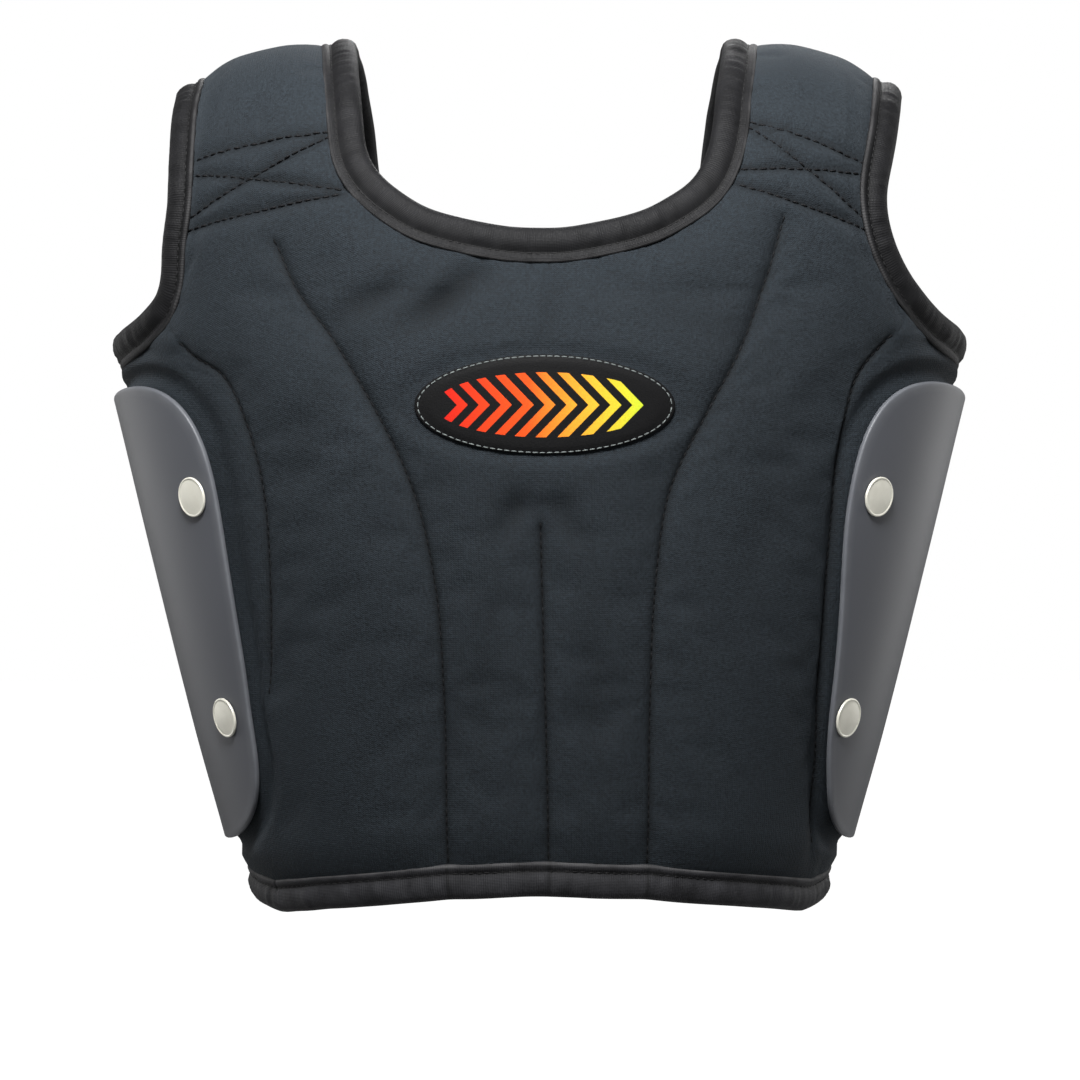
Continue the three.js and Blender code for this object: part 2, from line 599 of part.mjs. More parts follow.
// Where a rivet goes through a plate, and the way it points
function rivetPlace({ turn, height }, side) {
  const foot = aroundTorso(turn, height * VEST_HEIGHT, "front");
  foot.x *= side;
  const out = normalAt(foot);
  const grip = plateLift(turn) + PLATE_THICKNESS;
  const position = foot.clone().addScaledVector(out, grip);
  const turned = new THREE.Quaternion().setFromUnitVectors(new THREE.Vector3(0, 1, 0), out);
  return { position, turned, grip };
}

// A mesh as a manifold solid, and back
function toSolid(geometry) {
  const bare = geometry.clone();
  bare.deleteAttribute("normal");
  bare.deleteAttribute("uv");
  const merged = mergeVertices(bare, 1e-4);
  const vertProperties = merged.getAttribute("position").array;
  const triVerts = new Uint32Array(merged.getIndex().array);
  return new wasm.Manifold(new wasm.Mesh({ numProp: 3, vertProperties, triVerts }));
}
function toGeometry(solid) {
  const { vertProperties, triVerts } = solid.getMesh();
  const geometry = new THREE.BufferGeometry();
  geometry.setAttribute("position", new THREE.BufferAttribute(vertProperties, 3));
  geometry.setIndex(new THREE.BufferAttribute(triVerts, 1));
  return geometry;
}

// Drills the rivets' holes through a plate or a panel
function drilled(geometry, places) {
  const radius = RIVET_SHANK_RADIUS + RIVET_CLEARANCE;
  const reach = 3 * (PAD_THICKNESS + PLATE_GAP + PLATE_THICKNESS); // well past both faces
  const drill = new THREE.CylinderGeometry(radius, radius, reach, ROUND_SIDES);
  let solid = toSolid(geometry);
  for (const { position, turned } of places) {
    const hole = drill.clone().applyQuaternion(turned);
    hole.translate(position.x, position.y, position.z);
    solid = solid.subtract(toSolid(hole));
  }
  return toGeometry(solid);
}

const FABRIC = new THREE.MeshStandardMaterial({ color: 0x2a2f35, roughness: 0.92, metalness: 0 });
const TAPE = new THREE.MeshStandardMaterial({ color: 0x2b2b2e, roughness: 0.85, metalness: 0 });
const LOOP = new THREE.MeshStandardMaterial({ color: 0x1d1e20, roughness: 1, metalness: 0 });
const PLASTIC = new THREE.MeshStandardMaterial({ color: 0x53565b, roughness: 0.45, metalness: 0 });
const NICKEL = new THREE.MeshStandardMaterial({ color: 0xd8d6cb, roughness: 0.3, metalness: 1 });
const PRINT = new THREE.MeshStandardMaterial({ color: 0x17181a, roughness: 0.6, metalness: 0 });

const vest = new THREE.Group();
function add(name, geometry, material) {
  geometry.computeVertexNormals();
  const mesh = new THREE.Mesh(geometry, material);
  mesh.name = name;
  vest.add(mesh);
  return mesh;
}

const rivets = Object.entries(SIDES).flatMap(([half, side]) =>
  Object.entries(RIVETS).map(([position, place]) => ({
    name: `rivet_${half}_${position}`,
    half,
    ...rivetPlace(place, side),
  })),
);

const front = buildPanel(FRONT_CUT, "front");
const back = buildPanel(BACK_CUT, "back");
add("front_panel", drilled(front.geometry, rivets), FABRIC);
add("back_panel", back.geometry, FABRIC);

// The neck tape runs up the front neckline, over the shoulder seam and down round the back
const whole = ({ left, right }) => [...left.slice(1).reverse(), ...right];
const neckLoop = [...whole(front.chains.neck), ...whole(back.chains.neck).slice(1, -1).reverse()];
add("neck_tape", buildTape(neckLoop, true), TAPE);
for (const half of Object.keys(SIDES)) {
  const chain = [...front.chains.side[half], ...back.chains.side[half].slice(0, -1).reverse()];
  add(`armhole_tape_${half}`, buildTape(chain, false), TAPE);
}
add("hem_tape_front", buildTape(whole(front.chains.hem), false), TAPE);
add("hem_tape_back", buildTape(whole(back.chains.hem), false), TAPE);

for (const [half, side] of Object.entries(SIDES)) {
  const holes = rivets.filter((rivet) => rivet.half === half);
  add(`flank_plate_${half}`, drilled(buildPlate(side), holes), PLASTIC);
  add(`loop_field_${half}`, buildLoopField(side), LOOP);
}
for (const { name, position, turned, grip } of rivets) {
  const rivet = add(name, buildRivet(grip), NICKEL);
  rivet.position.copy(position);
  rivet.quaternion.copy(turned);
}
add("chest_patch", buildPatch(), PRINT);

// The straps rest on the shoulders at the middle of their width
const shoulderRest = ridgeHeight(STRAP_INNER + STRAP_WIDTH / 2);
vest.position.z = -shoulderRest;
const ribProtector = new THREE.Group();
ribProtector.add(vest);

export default ribProtector;
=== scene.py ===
import logging
import math
from collections.abc import Callable
from dataclasses import dataclass, field
from enum import Enum
from functools import cached_property
from typing import NamedTuple, Protocol

import bpy
import numpy as np
from mathutils import Matrix, Vector, noise
from mathutils.bvhtree import BVHTree
from mathutils.kdtree import KDTree


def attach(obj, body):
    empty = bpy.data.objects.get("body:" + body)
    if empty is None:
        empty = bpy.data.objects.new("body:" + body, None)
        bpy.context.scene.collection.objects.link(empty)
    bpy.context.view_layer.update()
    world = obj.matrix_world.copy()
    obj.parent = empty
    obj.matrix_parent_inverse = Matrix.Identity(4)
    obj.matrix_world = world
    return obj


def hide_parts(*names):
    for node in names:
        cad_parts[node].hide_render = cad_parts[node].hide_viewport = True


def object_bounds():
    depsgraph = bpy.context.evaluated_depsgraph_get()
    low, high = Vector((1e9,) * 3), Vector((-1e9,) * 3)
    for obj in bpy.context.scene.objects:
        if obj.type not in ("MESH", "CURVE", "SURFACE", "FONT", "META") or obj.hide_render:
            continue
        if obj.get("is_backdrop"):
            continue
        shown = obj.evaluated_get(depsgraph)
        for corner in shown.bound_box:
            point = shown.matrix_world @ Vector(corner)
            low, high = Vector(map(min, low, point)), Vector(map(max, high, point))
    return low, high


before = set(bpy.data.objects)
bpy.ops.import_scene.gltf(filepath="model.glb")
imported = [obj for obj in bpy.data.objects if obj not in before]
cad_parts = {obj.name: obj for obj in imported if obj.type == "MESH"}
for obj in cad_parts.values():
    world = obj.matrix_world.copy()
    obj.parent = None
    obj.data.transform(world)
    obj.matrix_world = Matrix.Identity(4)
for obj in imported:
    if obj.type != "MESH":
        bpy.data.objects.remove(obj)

LOG = logging.getLogger("rib_protector")
MM = 0.001
ROOT = "root"
Points = np.ndarray
Piece = bpy.types.Object
Socket = bpy.types.NodeSocket


class Facing(Enum):
    """Which way a panel looks, as the sign of its outward Y."""

    FRONT = -1
    BACK = 1


class Side(Enum):
    """Which half of the vest, as seen from the front, as the sign of its X."""

    LEFT = -1
    RIGHT = 1


class Section(NamedTuple):
    """A horizontal section of the torso, as shares of its named sizes."""

    height: float
    width: float
    front: float
    back: float


class CutRow(NamedTuple):
    """A line across half a panel.

    Each place is a turn in degrees from the panel's middle and a share of the height. The
    middle's own turn is 0, so it has its share alone.
    """

    neck: tuple[float, float]
    seam: tuple[float, float]
    pocket: tuple[float, float]
    edge: tuple[float, float]
    middle: float | None = None

    def at(self, column: str) -> tuple[float, float] | None:
        """The row's place on one column, or none in the neck's hollow.

        Args:
            column: The name of the column.

        Returns:
            The turn and the share, or none.
        """
        if column == "middle":
            return None if self.middle is None else (0, self.middle)
        return getattr(self, column)


class Fold(NamedTuple):
    """A soft hollow in the front, in millimetres and degrees, or a soft ridge if its depth is negative."""

    x: float
    height: float
    slant: float
    length: float
    width: float
    depth: float


def smooth(x: Points) -> Points:
    """Eases from 0 to 1 as x goes from 0 to 1."""
    t = np.clip(x, 0, 1)
    return t * t * (3 - 2 * t)


def unit(vectors: Points) -> Points:
    """Scales vectors to length 1."""
    return vectors / np.maximum(np.linalg.norm(vectors, axis=-1, keepdims=True), 1e-12)


def walked(points: Points) -> Points:
    """How far along a line each of its points lies."""
    steps = np.linalg.norm(np.diff(points, axis=0), axis=1)
    return np.concatenate([[0], np.cumsum(steps)])


def along_line(values: Points, along: Points, places: Points) -> Points:
    """Takes a line's values at other distances along it."""
    return np.stack([np.interp(places, along, column) for column in values.T], axis=-1)


def spaced(points: Points, step: float) -> Points:
    """Places points at an even distance along a line.

    Args:
        points: The line's points, in order.
        step: The distance wanted between two points, in metres.

    Returns:
        The new points, with the line's own two ends.
    """
    along = walked(points)
    count = max(2, round(along[-1] / step) + 1)
    return along_line(points, along, np.linspace(0, along[-1], count))


def curve_through(points: Points, places: Points) -> Points:
    """A smooth centripetal curve through points.

    Args:
        points: The points that the curve goes through.
        places: Where to take it, counted in points from the first one.

    Returns:
        The curve's points at these places.
    """
    last = len(points) - 1
    before = 2 * points[0] - points[1]
    after = 2 * points[-1] - points[-2]
    line = np.vstack([before, points, after])
    start = np.clip(np.floor(places).astype(int), 0, last - 1)
    t = (places - start)[:, None]
    p0, p1, p2, p3 = (line[start + k] for k in range(4))
    d0, d1, d2 = (np.sqrt(np.linalg.norm(b - a, axis=1))[:, None] for a, b in ((p0, p1), (p1, p2), (p2, p3)))
    slope1 = ((p1 - p0) / d0 - (p2 - p0) / (d0 + d1) + (p2 - p1) / d1) * d1
    slope2 = ((p2 - p1) / d1 - (p3 - p1) / (d1 + d2) + (p3 - p2) / d2) * d1
    square = -3 * p1 + 3 * p2 - 2 * slope1 - slope2
    cube = 2 * p1 - 2 * p2 + slope1 + slope2
    return p1 + slope1 * t + square * t**2 + cube * t**3


def wavering(values: Points, seed: float) -> Points:
    """A smooth random wave between about -1 and 1, the same each time."""
    return np.array([2 * noise.noise(Vector((float(v), seed, 0.5))) for v in np.ravel(values)])


@dataclass(frozen=True)
class Torso:
    """The form that the vest is shaped round. The lining of both panels lies on it."""

    height: float = 0.362
    half_width: float = 0.18
    front_depth: float = 0.114
    back_depth: float = 0.104
    shoulder_start: float = 0.69
    roundness: float = 2.2
    shoulder_slope: float = 4.5
    shoulder_arch: float = 2.4
    rest_at: float = 0.114
    sections: tuple[Section, ...] = (
        Section(height=0.0, width=0.644, front=0.895, back=0.923),
        Section(height=0.066, width=0.675, front=0.912, back=0.932),
        Section(height=0.207, width=0.754, front=0.939, back=0.952),
        Section(height=0.414, width=0.858, front=0.987, back=0.981),
        Section(height=0.602, width=0.95, front=1.0, back=1.0),
        Section(height=0.69, width=1.0, front=0.965, back=0.981),
    )

    @cached_property
    def rest(self) -> float:
        """The height at which the straps rest on the shoulders, which is the frame's origin."""
        return float(self.ridge(np.array([self.rest_at]))[0])

    def column(self, name: str, share: Points) -> Points:
        """One column of the sections, on a smooth curve through its rows.

        Args:
            name: The column's name.
            share: Heights, as shares of the torso's.

        Returns:
            The column's value at each height.
        """
        heights = np.array([row.height for row in self.sections])
        values = np.array([getattr(row, name) for row in self.sections])
        low = np.maximum(np.arange(len(heights)) - 1, 0)
        high = np.minimum(np.arange(len(heights)) + 1, len(heights) - 1)
        slopes = (values[high] - values[low]) / (heights[high] - heights[low])
        s = np.clip(share, 0, self.shoulder_start)
        i = np.clip(np.searchsorted(heights, s, side="right") - 1, 0, len(heights) - 2)
        step = heights[i + 1] - heights[i]
        t = (s - heights[i]) / step
        return (
            (2 * t**3 - 3 * t**2 + 1) * values[i]
            + (t**3 - 2 * t**2 + t) * step * slopes[i]
            + (3 * t**2 - 2 * t**3) * values[i + 1]
            + (t**3 - t**2) * step * slopes[i + 1]
        )

    def section(self, z: Points) -> tuple[Points, Points, Points]:
        """Half width, and depth to the front and to the back, at heights z.

        Args:
            z: Heights above the hem line.

        Returns:
            The three lengths at each height.
        """
        share = z / self.height
        closing = np.clip((share - self.shoulder_start) / (1 - self.shoulder_start), 0, 1)
        narrowing = np.sqrt(np.maximum(1 - closing**self.shoulder_slope, 1e-12))
        thinning = np.sqrt(np.maximum(1 - closing**self.shoulder_arch, 1e-12))
        width = self.half_width * self.column("width", share) * narrowing
        front = self.front_depth * self.column("front", share) * thinning
        back = self.back_depth * self.column("back", share) * thinning
        return width, front, back

    def level(self, points: Points) -> Points:
        """Below 1 inside the torso and above 1 outside it.

        Args:
            points: Points above the hem line, anywhere.

        Returns:
            The level at each point.
        """
        x, y, z = np.moveaxis(points, -1, 0)
        width, front, back = self.section(np.minimum(z, self.height))
        depth = np.where(y < 0, front, back)
        inside = (np.abs(x) / width) ** self.roundness + (np.abs(y) / depth) ** self.roundness
        return np.where(z >= self.height, 2.0, inside)

    def normals(self, points: Points) -> Points:
        """The torso's outward normals at points on it.

        Args:
            points: Points on the torso.

        Returns:
            A normal for each point.
        """
        h = 1e-5
        slopes = [self.level(points + step) - self.level(points - step) for step in np.eye(3) * h]
        return unit(np.stack(slopes, axis=-1))

    def around(self, turn: Points, z: Points, facing: Facing) -> Points:
        """Points of the torso at turns from the middle of one side.

        Args:
            turn: Degrees from the middle of the front, or of the back.
            z: Heights above the hem line.
            facing: Which of the two sides the turns are counted on.

        Returns:
            The points.
        """
        s, c = np.sin(np.radians(turn)), np.cos(np.radians(turn))
        width, front, back = self.section(z)
        same = (facing is Facing.FRONT) == (c >= 0)
        depth = np.where(same, front, back)
        power = (np.abs(s) / width) ** self.roundness + (np.abs(c) / depth) ** self.roundness
        reach = power ** (-1 / self.roundness)
        return np.stack([reach * s, facing.value * reach * c, z], axis=-1)

    def ahead(self, x: Points, z: Points, facing: Facing) -> Points:
        """Points of the torso's front or back seen at x, z from straight ahead.

        Args:
            x: Distances from the middle.
            z: Heights above the hem line.
            facing: Front or back.

        Returns:
            The points.
        """
        width, front, back = self.section(z)
        depth = front if facing is Facing.FRONT else back
        share = np.clip(1 - (np.abs(x) / width) ** self.roundness, 0, 1)
        return np.stack([x + 0 * z, facing.value * depth * share ** (1 / self.roundness), z + 0 * x], axis=-1)

    def ridge(self, x: Points) -> Points:
        """Heights of the ridge where front meets back, at distances from the middle."""
        closing = (1 - (np.abs(x) / self.half_width) ** 2) ** (1 / self.shoulder_slope)
        return self.height * (self.shoulder_start + (1 - self.shoulder_start) * closing)

    def onto(self, points: Points) -> Points:
        """Moves points that are near the torso onto it, along rays from its core.

        Args:
            points: Points near the torso.

        Returns:
            The moved points.
        """
        core = np.zeros_like(points)
        core[..., 2] = np.minimum(points[..., 2], self.shoulder_start * self.height)
        ray = points - core
        inside = np.zeros(points.shape[:-1])
        outside = np.full(points.shape[:-1], 2.0)
        for _ in range(34):
            middle = (inside + outside) / 2
            within = self.level(core + ray * middle[..., None]) < 1
            inside = np.where(within, middle, inside)
            outside = np.where(within, outside, middle)
        return core + ray * inside[..., None]

    def framed(self, points: Points) -> Points:
        """Moves points from heights above the hem line into the frame."""
        return points - np.array([0, 0, self.rest])


FRONT_CUT = {
    Side.RIGHT: (
        CutRow((12, 0.028), (23.2, 0.026), (66, 0), (97, 0.014), 0.03),
        CutRow((12.5, 0.135), (22.8, 0.13), (61.5, 0.11), (97, 0.116), 0.138),
        CutRow((12.5, 0.25), (22.5, 0.243), (57.6, 0.232), (97, 0.232), 0.254),
        CutRow((12.5, 0.366), (22.7, 0.36), (55.8, 0.343), (97, 0.348), 0.37),
        CutRow((14, 0.472), (25, 0.47), (54.9, 0.448), (97, 0.459), 0.475),
        CutRow((16.5, 0.572), (31.8, 0.56), (54.9, 0.535), (97, 0.55), 0.575),
        CutRow((19, 0.655), (37.8, 0.632), (56.6, 0.6), (96.5, 0.613), 0.65),
        CutRow((22, 0.705), (41.4, 0.69), (60.6, 0.636), (90, 0.641), 0.69),
        CutRow((24, 0.772), (43.6, 0.733), (63.4, 0.66), (79.5, 0.654), 0.747),
        CutRow((28, 0.786), (44.8, 0.757), (61, 0.684), (71.6, 0.67)),
        CutRow((31.2, 0.799), (46, 0.78), (58, 0.716), (66, 0.7)),
        CutRow((33.8, 0.813), (47.2, 0.803), (55.8, 0.757), (62.2, 0.75)),
        CutRow((36.2, 0.832), (48.6, 0.831), (55.4, 0.804), (62, 0.8)),
    ),
    Side.LEFT: (
        CutRow((11, 0.028), (19.6, 0.026), (63, 0), (97, 0.014), 0.03),
        CutRow((11.5, 0.135), (19.6, 0.13), (58, 0.11), (97, 0.116), 0.138),
        CutRow((11.5, 0.25), (19.5, 0.243), (54.4, 0.232), (97, 0.232), 0.254),
        CutRow((12, 0.366), (20.4, 0.36), (51.7, 0.343), (97, 0.348), 0.37),
        CutRow((14, 0.472), (24.2, 0.47), (50.6, 0.448), (97, 0.459), 0.475),
        CutRow((16.5, 0.572), (31, 0.56), (52.2, 0.53), (97, 0.55), 0.575),
        CutRow((19, 0.655), (37.7, 0.63), (56.2, 0.598), (96.5, 0.613), 0.65),
        CutRow((22, 0.705), (44.2, 0.686), (61.5, 0.624), (89.5, 0.642), 0.69),
        CutRow((24.4, 0.772), (47.4, 0.731), (65, 0.655), (79.5, 0.65), 0.747),
        CutRow((28.4, 0.786), (49, 0.756), (63.4, 0.684), (71.2, 0.667)),
        CutRow((31.6, 0.799), (50.4, 0.782), (61, 0.718), (66.8, 0.694)),
        CutRow((34.4, 0.813), (51.7, 0.806), (59.2, 0.76), (66.1, 0.748)),
        CutRow((37, 0.832), (53.2, 0.831), (59.2, 0.804), (66.2, 0.8)),
    ),
}
BACK_HALF = (
    CutRow((12, 0.014), (22, 0.012), (52, 0.01), (78, 0.014), 0.014),
    CutRow((12.5, 0.126), (22, 0.122), (51.5, 0.118), (78, 0.116), 0.126),
    CutRow((12.5, 0.242), (22.5, 0.238), (51, 0.234), (78, 0.232), 0.242),
    CutRow((12.5, 0.358), (23.5, 0.354), (50.5, 0.348), (78, 0.348), 0.358),
    CutRow((14, 0.466), (26, 0.462), (50.5, 0.455), (78, 0.459), 0.468),
    CutRow((16.5, 0.57), (31, 0.56), (51.5, 0.545), (78, 0.55), 0.575),
    CutRow((19.8, 0.658), (36.8, 0.632), (53.3, 0.6), (77.6, 0.61), 0.66),
    CutRow((23.5, 0.707), (41.8, 0.687), (57.3, 0.64), (75.5, 0.637), 0.7),
    CutRow((26.5, 0.778), (45.2, 0.737), (60.3, 0.668), (71.5, 0.65), 0.755),
    CutRow((30.4, 0.789), (47, 0.761), (59.5, 0.69), (68, 0.668)),
    CutRow((33.8, 0.801), (48.5, 0.784), (58.5, 0.718), (66, 0.7)),
    CutRow((37, 0.816), (50, 0.807), (58, 0.76), (65, 0.75)),
    CutRow((39.8, 0.836), (51.8, 0.832), (59, 0.805), (65, 0.802)),
)
BACK_CUT = {Side.RIGHT: BACK_HALF, Side.LEFT: BACK_HALF}

# Soft hollows of the front, as it hangs
FRONT_FOLDS = (
    Fold(-63, 246, 30, 17, 5.5, 3.4),
    Fold(-39, 243, 36, 16, 6.5, 4.4),
    Fold(-24, 258, 42, 13, 4.5, 2.2),
    Fold(-51, 253, 46, 14, 3.5, -1.2),
    Fold(4, 240, 82, 16, 5, 1.4),
    Fold(-11, 160, 64, 12, 4.5, 2.6),
    Fold(11.5, 157, -62, 10, 4.5, 2.2),
    Fold(1, 164, 4, 13, 4, 1.2),
    Fold(-20, 104, 86, 44, 5, 1),
    Fold(21, 90, 92, 50, 6, 1.1),
    Fold(107, 26, 84, 16, 3, 1.4),
    Fold(113, 30, 80, 14, 2.5, 0.9),
    Fold(-36, 60, 80, 40, 8, 0.9),
    Fold(60, 238, -28, 26, 8, 1),
    Fold(84, 150, 70, 36, 8, 0.8),
    Fold(-88, 196, 64, 34, 8, 0.8),
)


# Crossed stitch lines that quilt the two straps: pairs of ends, each x and height in millimetres
QUILT_LINES = (
    ((-141.5, 275.5), (-78.8, 287.6)),
    ((-140.4, 280.4), (-79.2, 313.2)),
    ((-138.6, 297.5), (-77.6, 289.2)),
    ((-138.4, 303.4), (-79.4, 313.6)),
    ((78.6, 291.4), (134.4, 274.2)),
    ((133.2, 277.2), (79.6, 317.8)),
    ((79.4, 297.6), (131.8, 297.6)),
    ((131.6, 301.4), (79.8, 318.2)),
)


@dataclass
class MeshData:
    """Points and faces that are gathered before they become a mesh."""

    points: list[Points] = field(default_factory=list)
    faces: list[Points] = field(default_factory=list)
    uvs: list[Points] = field(default_factory=list)
    count: int = 0

    def add(self, points: Points, faces: Points, uvs: Points | None = None) -> None:
        """Adds a stretch of points and the faces between them.

        Args:
            points: The points, one row each.
            faces: Four point numbers a face, counted from this stretch's first point.
            uvs: The points' places on the cloth, or none.
        """
        self.points.append(points)
        self.faces.append(np.asarray(faces) + self.count)
        self.uvs.append(np.zeros((len(points), 2)) if uvs is None else uvs)
        self.count += len(points)

    def build(self, name: str) -> Piece:
        """Makes the object, smooth shaded, with its UV map.

        Args:
            name: The name of the object and its mesh.

        Returns:
            The object.
        """
        points = np.vstack(self.points)
        faces = [tuple(int(i) for i in face) for group in self.faces for face in group]
        mesh = bpy.data.meshes.new(name)
        mesh.from_pydata([tuple(p) for p in points], [], faces)
        mesh.polygons.foreach_set("use_smooth", np.ones(len(mesh.polygons), bool))
        corners = np.zeros(len(mesh.loops), np.int32)
        mesh.loops.foreach_get("vertex_index", corners)
        layer = mesh.uv_layers.new(name="cloth")
        layer.data.foreach_set("uv", np.vstack(self.uvs)[corners].astype(np.float32).ravel())
        mesh.update()
        piece = bpy.data.objects.new(name, mesh)
        bpy.context.scene.collection.objects.link(piece)
        return piece


def give_attribute(piece: Piece, name: str, values: Points) -> None:
    """Keeps one number a point on a mesh, for its material to read."""
    attribute = piece.data.attributes.new(name, "FLOAT", "POINT")
    attribute.data.foreach_set("value", np.asarray(values, np.float32).ravel())


class Paint:
    """A material under construction: its shader and short ways to add nodes to it."""

    def __init__(self, name: str) -> None:
        """Starts an empty material with one principled shader.

        Args:
            name: The material's name.
        """
        self.material = bpy.data.materials.new(name)
        self.material.use_nodes = True
        self.tree = self.material.node_tree
        self.shader = self.tree.nodes["Principled BSDF"]

    def node(self, kind: str, inputs: dict | None = None, **settings: object) -> bpy.types.Node:
        """Adds a node.

        Args:
            kind: The node's type.
            inputs: Values or sockets for its inputs, by name or number.
            settings: The node's own properties.

        Returns:
            The node.
        """
        made = self.tree.nodes.new(kind)
        for name, value in settings.items():
            setattr(made, name, value)
        for name, value in (inputs or {}).items():
            self.feed(made.inputs[name], value)
        return made

    def feed(self, socket: Socket, value: object) -> None:
        """Links a socket to an input, or gives the input a plain value.

        Args:
            socket: The input.
            value: Another socket, or a number or colour.
        """
        if isinstance(value, Socket):
            self.tree.links.new(value, socket)
        else:
            socket.default_value = value

    def sums(self, operation: str, *values: object) -> Socket:
        """The result of a math node on one to three values or sockets.

        Args:
            operation: The node's operation.
            values: What it works on, in order.

        Returns:
            The node's output.
        """
        made = self.tree.nodes.new("ShaderNodeMath")
        made.operation = operation
        for socket, value in zip(made.inputs, values):
            self.feed(socket, value)
        return made.outputs[0]

    def grain(self, scale: float, detail: float = 3, where: object = None) -> Socket:
        """Cloudy noise between 0 and 1, by default over the object's own coordinates.

        Args:
            scale: How fine it is.
            detail: How many finer layers it has.
            where: The coordinates, or none.

        Returns:
            The noise.
        """
        place = where or self.node("ShaderNodeTexCoord").outputs["Object"]
        made = self.node("ShaderNodeTexNoise", {"Vector": place, "Scale": scale, "Detail": detail})
        return made.outputs["Fac"]

    def cloth_place(self) -> tuple[Socket, Socket]:
        """The two coordinates of a point on the cloth, in metres.

        Returns:
            The coordinates across and along.
        """
        uv = self.node("ShaderNodeUVMap", uv_map="cloth").outputs["UV"]
        parts = self.node("ShaderNodeSeparateXYZ", {"Vector": uv})
        return parts.outputs["X"], parts.outputs["Y"]

    def blend(self, share: object, low: object, high: object) -> Socket:
        """A colour between two colours.

        Args:
            share: 0 for the first colour, 1 for the second.
            low: The first colour.
            high: The second colour.

        Returns:
            The colour.
        """
        made = self.node("ShaderNodeMix", data_type="RGBA")
        self.feed(made.inputs["Factor"], share)
        self.feed(made.inputs["A"], low)
        self.feed(made.inputs["B"], high)
        return made.outputs["Result"]

    def between(self, value: object, low: float, high: float) -> Socket:
        """Stretches a value from 0..1 to low..high."""
        return self.sums("MULTIPLY_ADD", value, high - low, low)

    def stretched(self, value: object, gain: float) -> Socket:
        """Widens a value's range about the middle, 0.5."""
        return self.sums("MULTIPLY_ADD", value, gain, 0.5 - gain / 2)

    def relief(self, height: object, depth: float, strength: float = 1.0) -> None:
        """Gives the shader fine relief."""
        bump = self.node("ShaderNodeBump", {"Height": height, "Distance": depth, "Strength": strength})
        self.feed(self.shader.inputs["Normal"], bump.outputs["Normal"])

    def set(self, **values: object) -> None:
        """Feeds the shader's inputs, named with underscores for spaces."""
        for name, value in values.items():
            self.feed(self.shader.inputs[name.replace("_", " ")], value)


Colour = tuple[float, float, float, float]


@dataclass(frozen=True)
class KnitFinish:
    """Fine blue-black knit over foam: rows of small loops, speckled and cloudy, with painted shade in the
    crease of each seam and in the folds.
    """

    name: str = "blue_black_knit"
    dark: Colour = (0.0053, 0.0069, 0.009, 1)
    light: Colour = (0.0253, 0.0327, 0.0397, 1)
    loop: float = 1.0 * MM
    row: float = 0.8 * MM
    depth: float = 0.3 * MM

    def material(self) -> bpy.types.Material:
        """Builds the material.

        Returns:
            The material.
        """
        paint = Paint(self.name)
        across, along = paint.cloth_place()
        slant = paint.sums("PINGPONG", across, self.loop / 2)
        lifted = paint.sums("MULTIPLY_ADD", slant, 0.8, along)
        rows = paint.sums("SINE", paint.sums("MULTIPLY", lifted, 2 * math.pi / self.row))
        wales = paint.sums("SINE", paint.sums("MULTIPLY", across, 2 * math.pi / self.loop))
        knit = paint.between(paint.sums("MULTIPLY_ADD", wales, 0.6, rows), 0.5, 0.8)
        fuzz = paint.stretched(paint.grain(850, 3), 3.8)
        flecks = paint.stretched(paint.grain(2300, 2), 3.0)
        clouds = paint.stretched(paint.grain(15, 4), 1.8)
        shade = paint.sums("MULTIPLY_ADD", fuzz, 0.42, paint.sums("MULTIPLY", flecks, 0.24))
        shade = paint.sums("MULTIPLY_ADD", clouds, 0.16, shade)
        shade = paint.sums("MULTIPLY_ADD", knit, 0.18, shade)
        colour = paint.blend(shade, self.dark, self.light)
        # Painted shade: the crease attribute darkens the knit towards near-black in the crease of each seam
        # and in the folds.
        crease = paint.node("ShaderNodeAttribute", attribute_name="crease").outputs["Fac"]
        colour = paint.blend(paint.sums("MULTIPLY", crease, 0.8), colour, (0.003, 0.0035, 0.004, 1))
        paint.set(Base_Color=colour, Roughness=paint.between(fuzz, 0.78, 0.95))
        paint.set(Sheen_Weight=0.04, Sheen_Roughness=0.5, Sheen_Tint=(0.62, 0.74, 0.86, 1))
        paint.set(Specular_IOR_Level=0.2)
        paint.relief(paint.sums("MULTIPLY_ADD", fuzz, 0.7, knit), self.depth, 0.6)
        return paint.material


@dataclass(frozen=True)
class LiningFinish:
    """Smooth black lining cloth with a fine open mesh."""

    name: str = "black_lining"
    dark: Colour = (0.006, 0.0065, 0.007, 1)
    light: Colour = (0.024, 0.025, 0.027, 1)
    hole: float = 1.6 * MM

    def material(self) -> bpy.types.Material:
        """Builds the material.

        Returns:
            The material.
        """
        paint = Paint(self.name)
        across, along = paint.cloth_place()
        step = 2 * math.pi / self.hole
        dots = paint.sums(
            "MULTIPLY",
            paint.sums("SINE", paint.sums("MULTIPLY", across, step)),
            paint.sums("SINE", paint.sums("MULTIPLY", along, step)),
        )
        net = paint.between(dots, 0.5, 1.0)
        fuzz = paint.grain(900, 3)
        shade = paint.sums("MULTIPLY_ADD", fuzz, 0.6, paint.sums("MULTIPLY", net, 0.4))
        paint.set(Base_Color=paint.blend(shade, self.dark, self.light))
        paint.set(Roughness=paint.between(fuzz, 0.6, 0.85))
        paint.set(Sheen_Weight=0.2, Sheen_Roughness=0.5)
        paint.relief(net, 0.3 * MM, 0.5)
        return paint.material


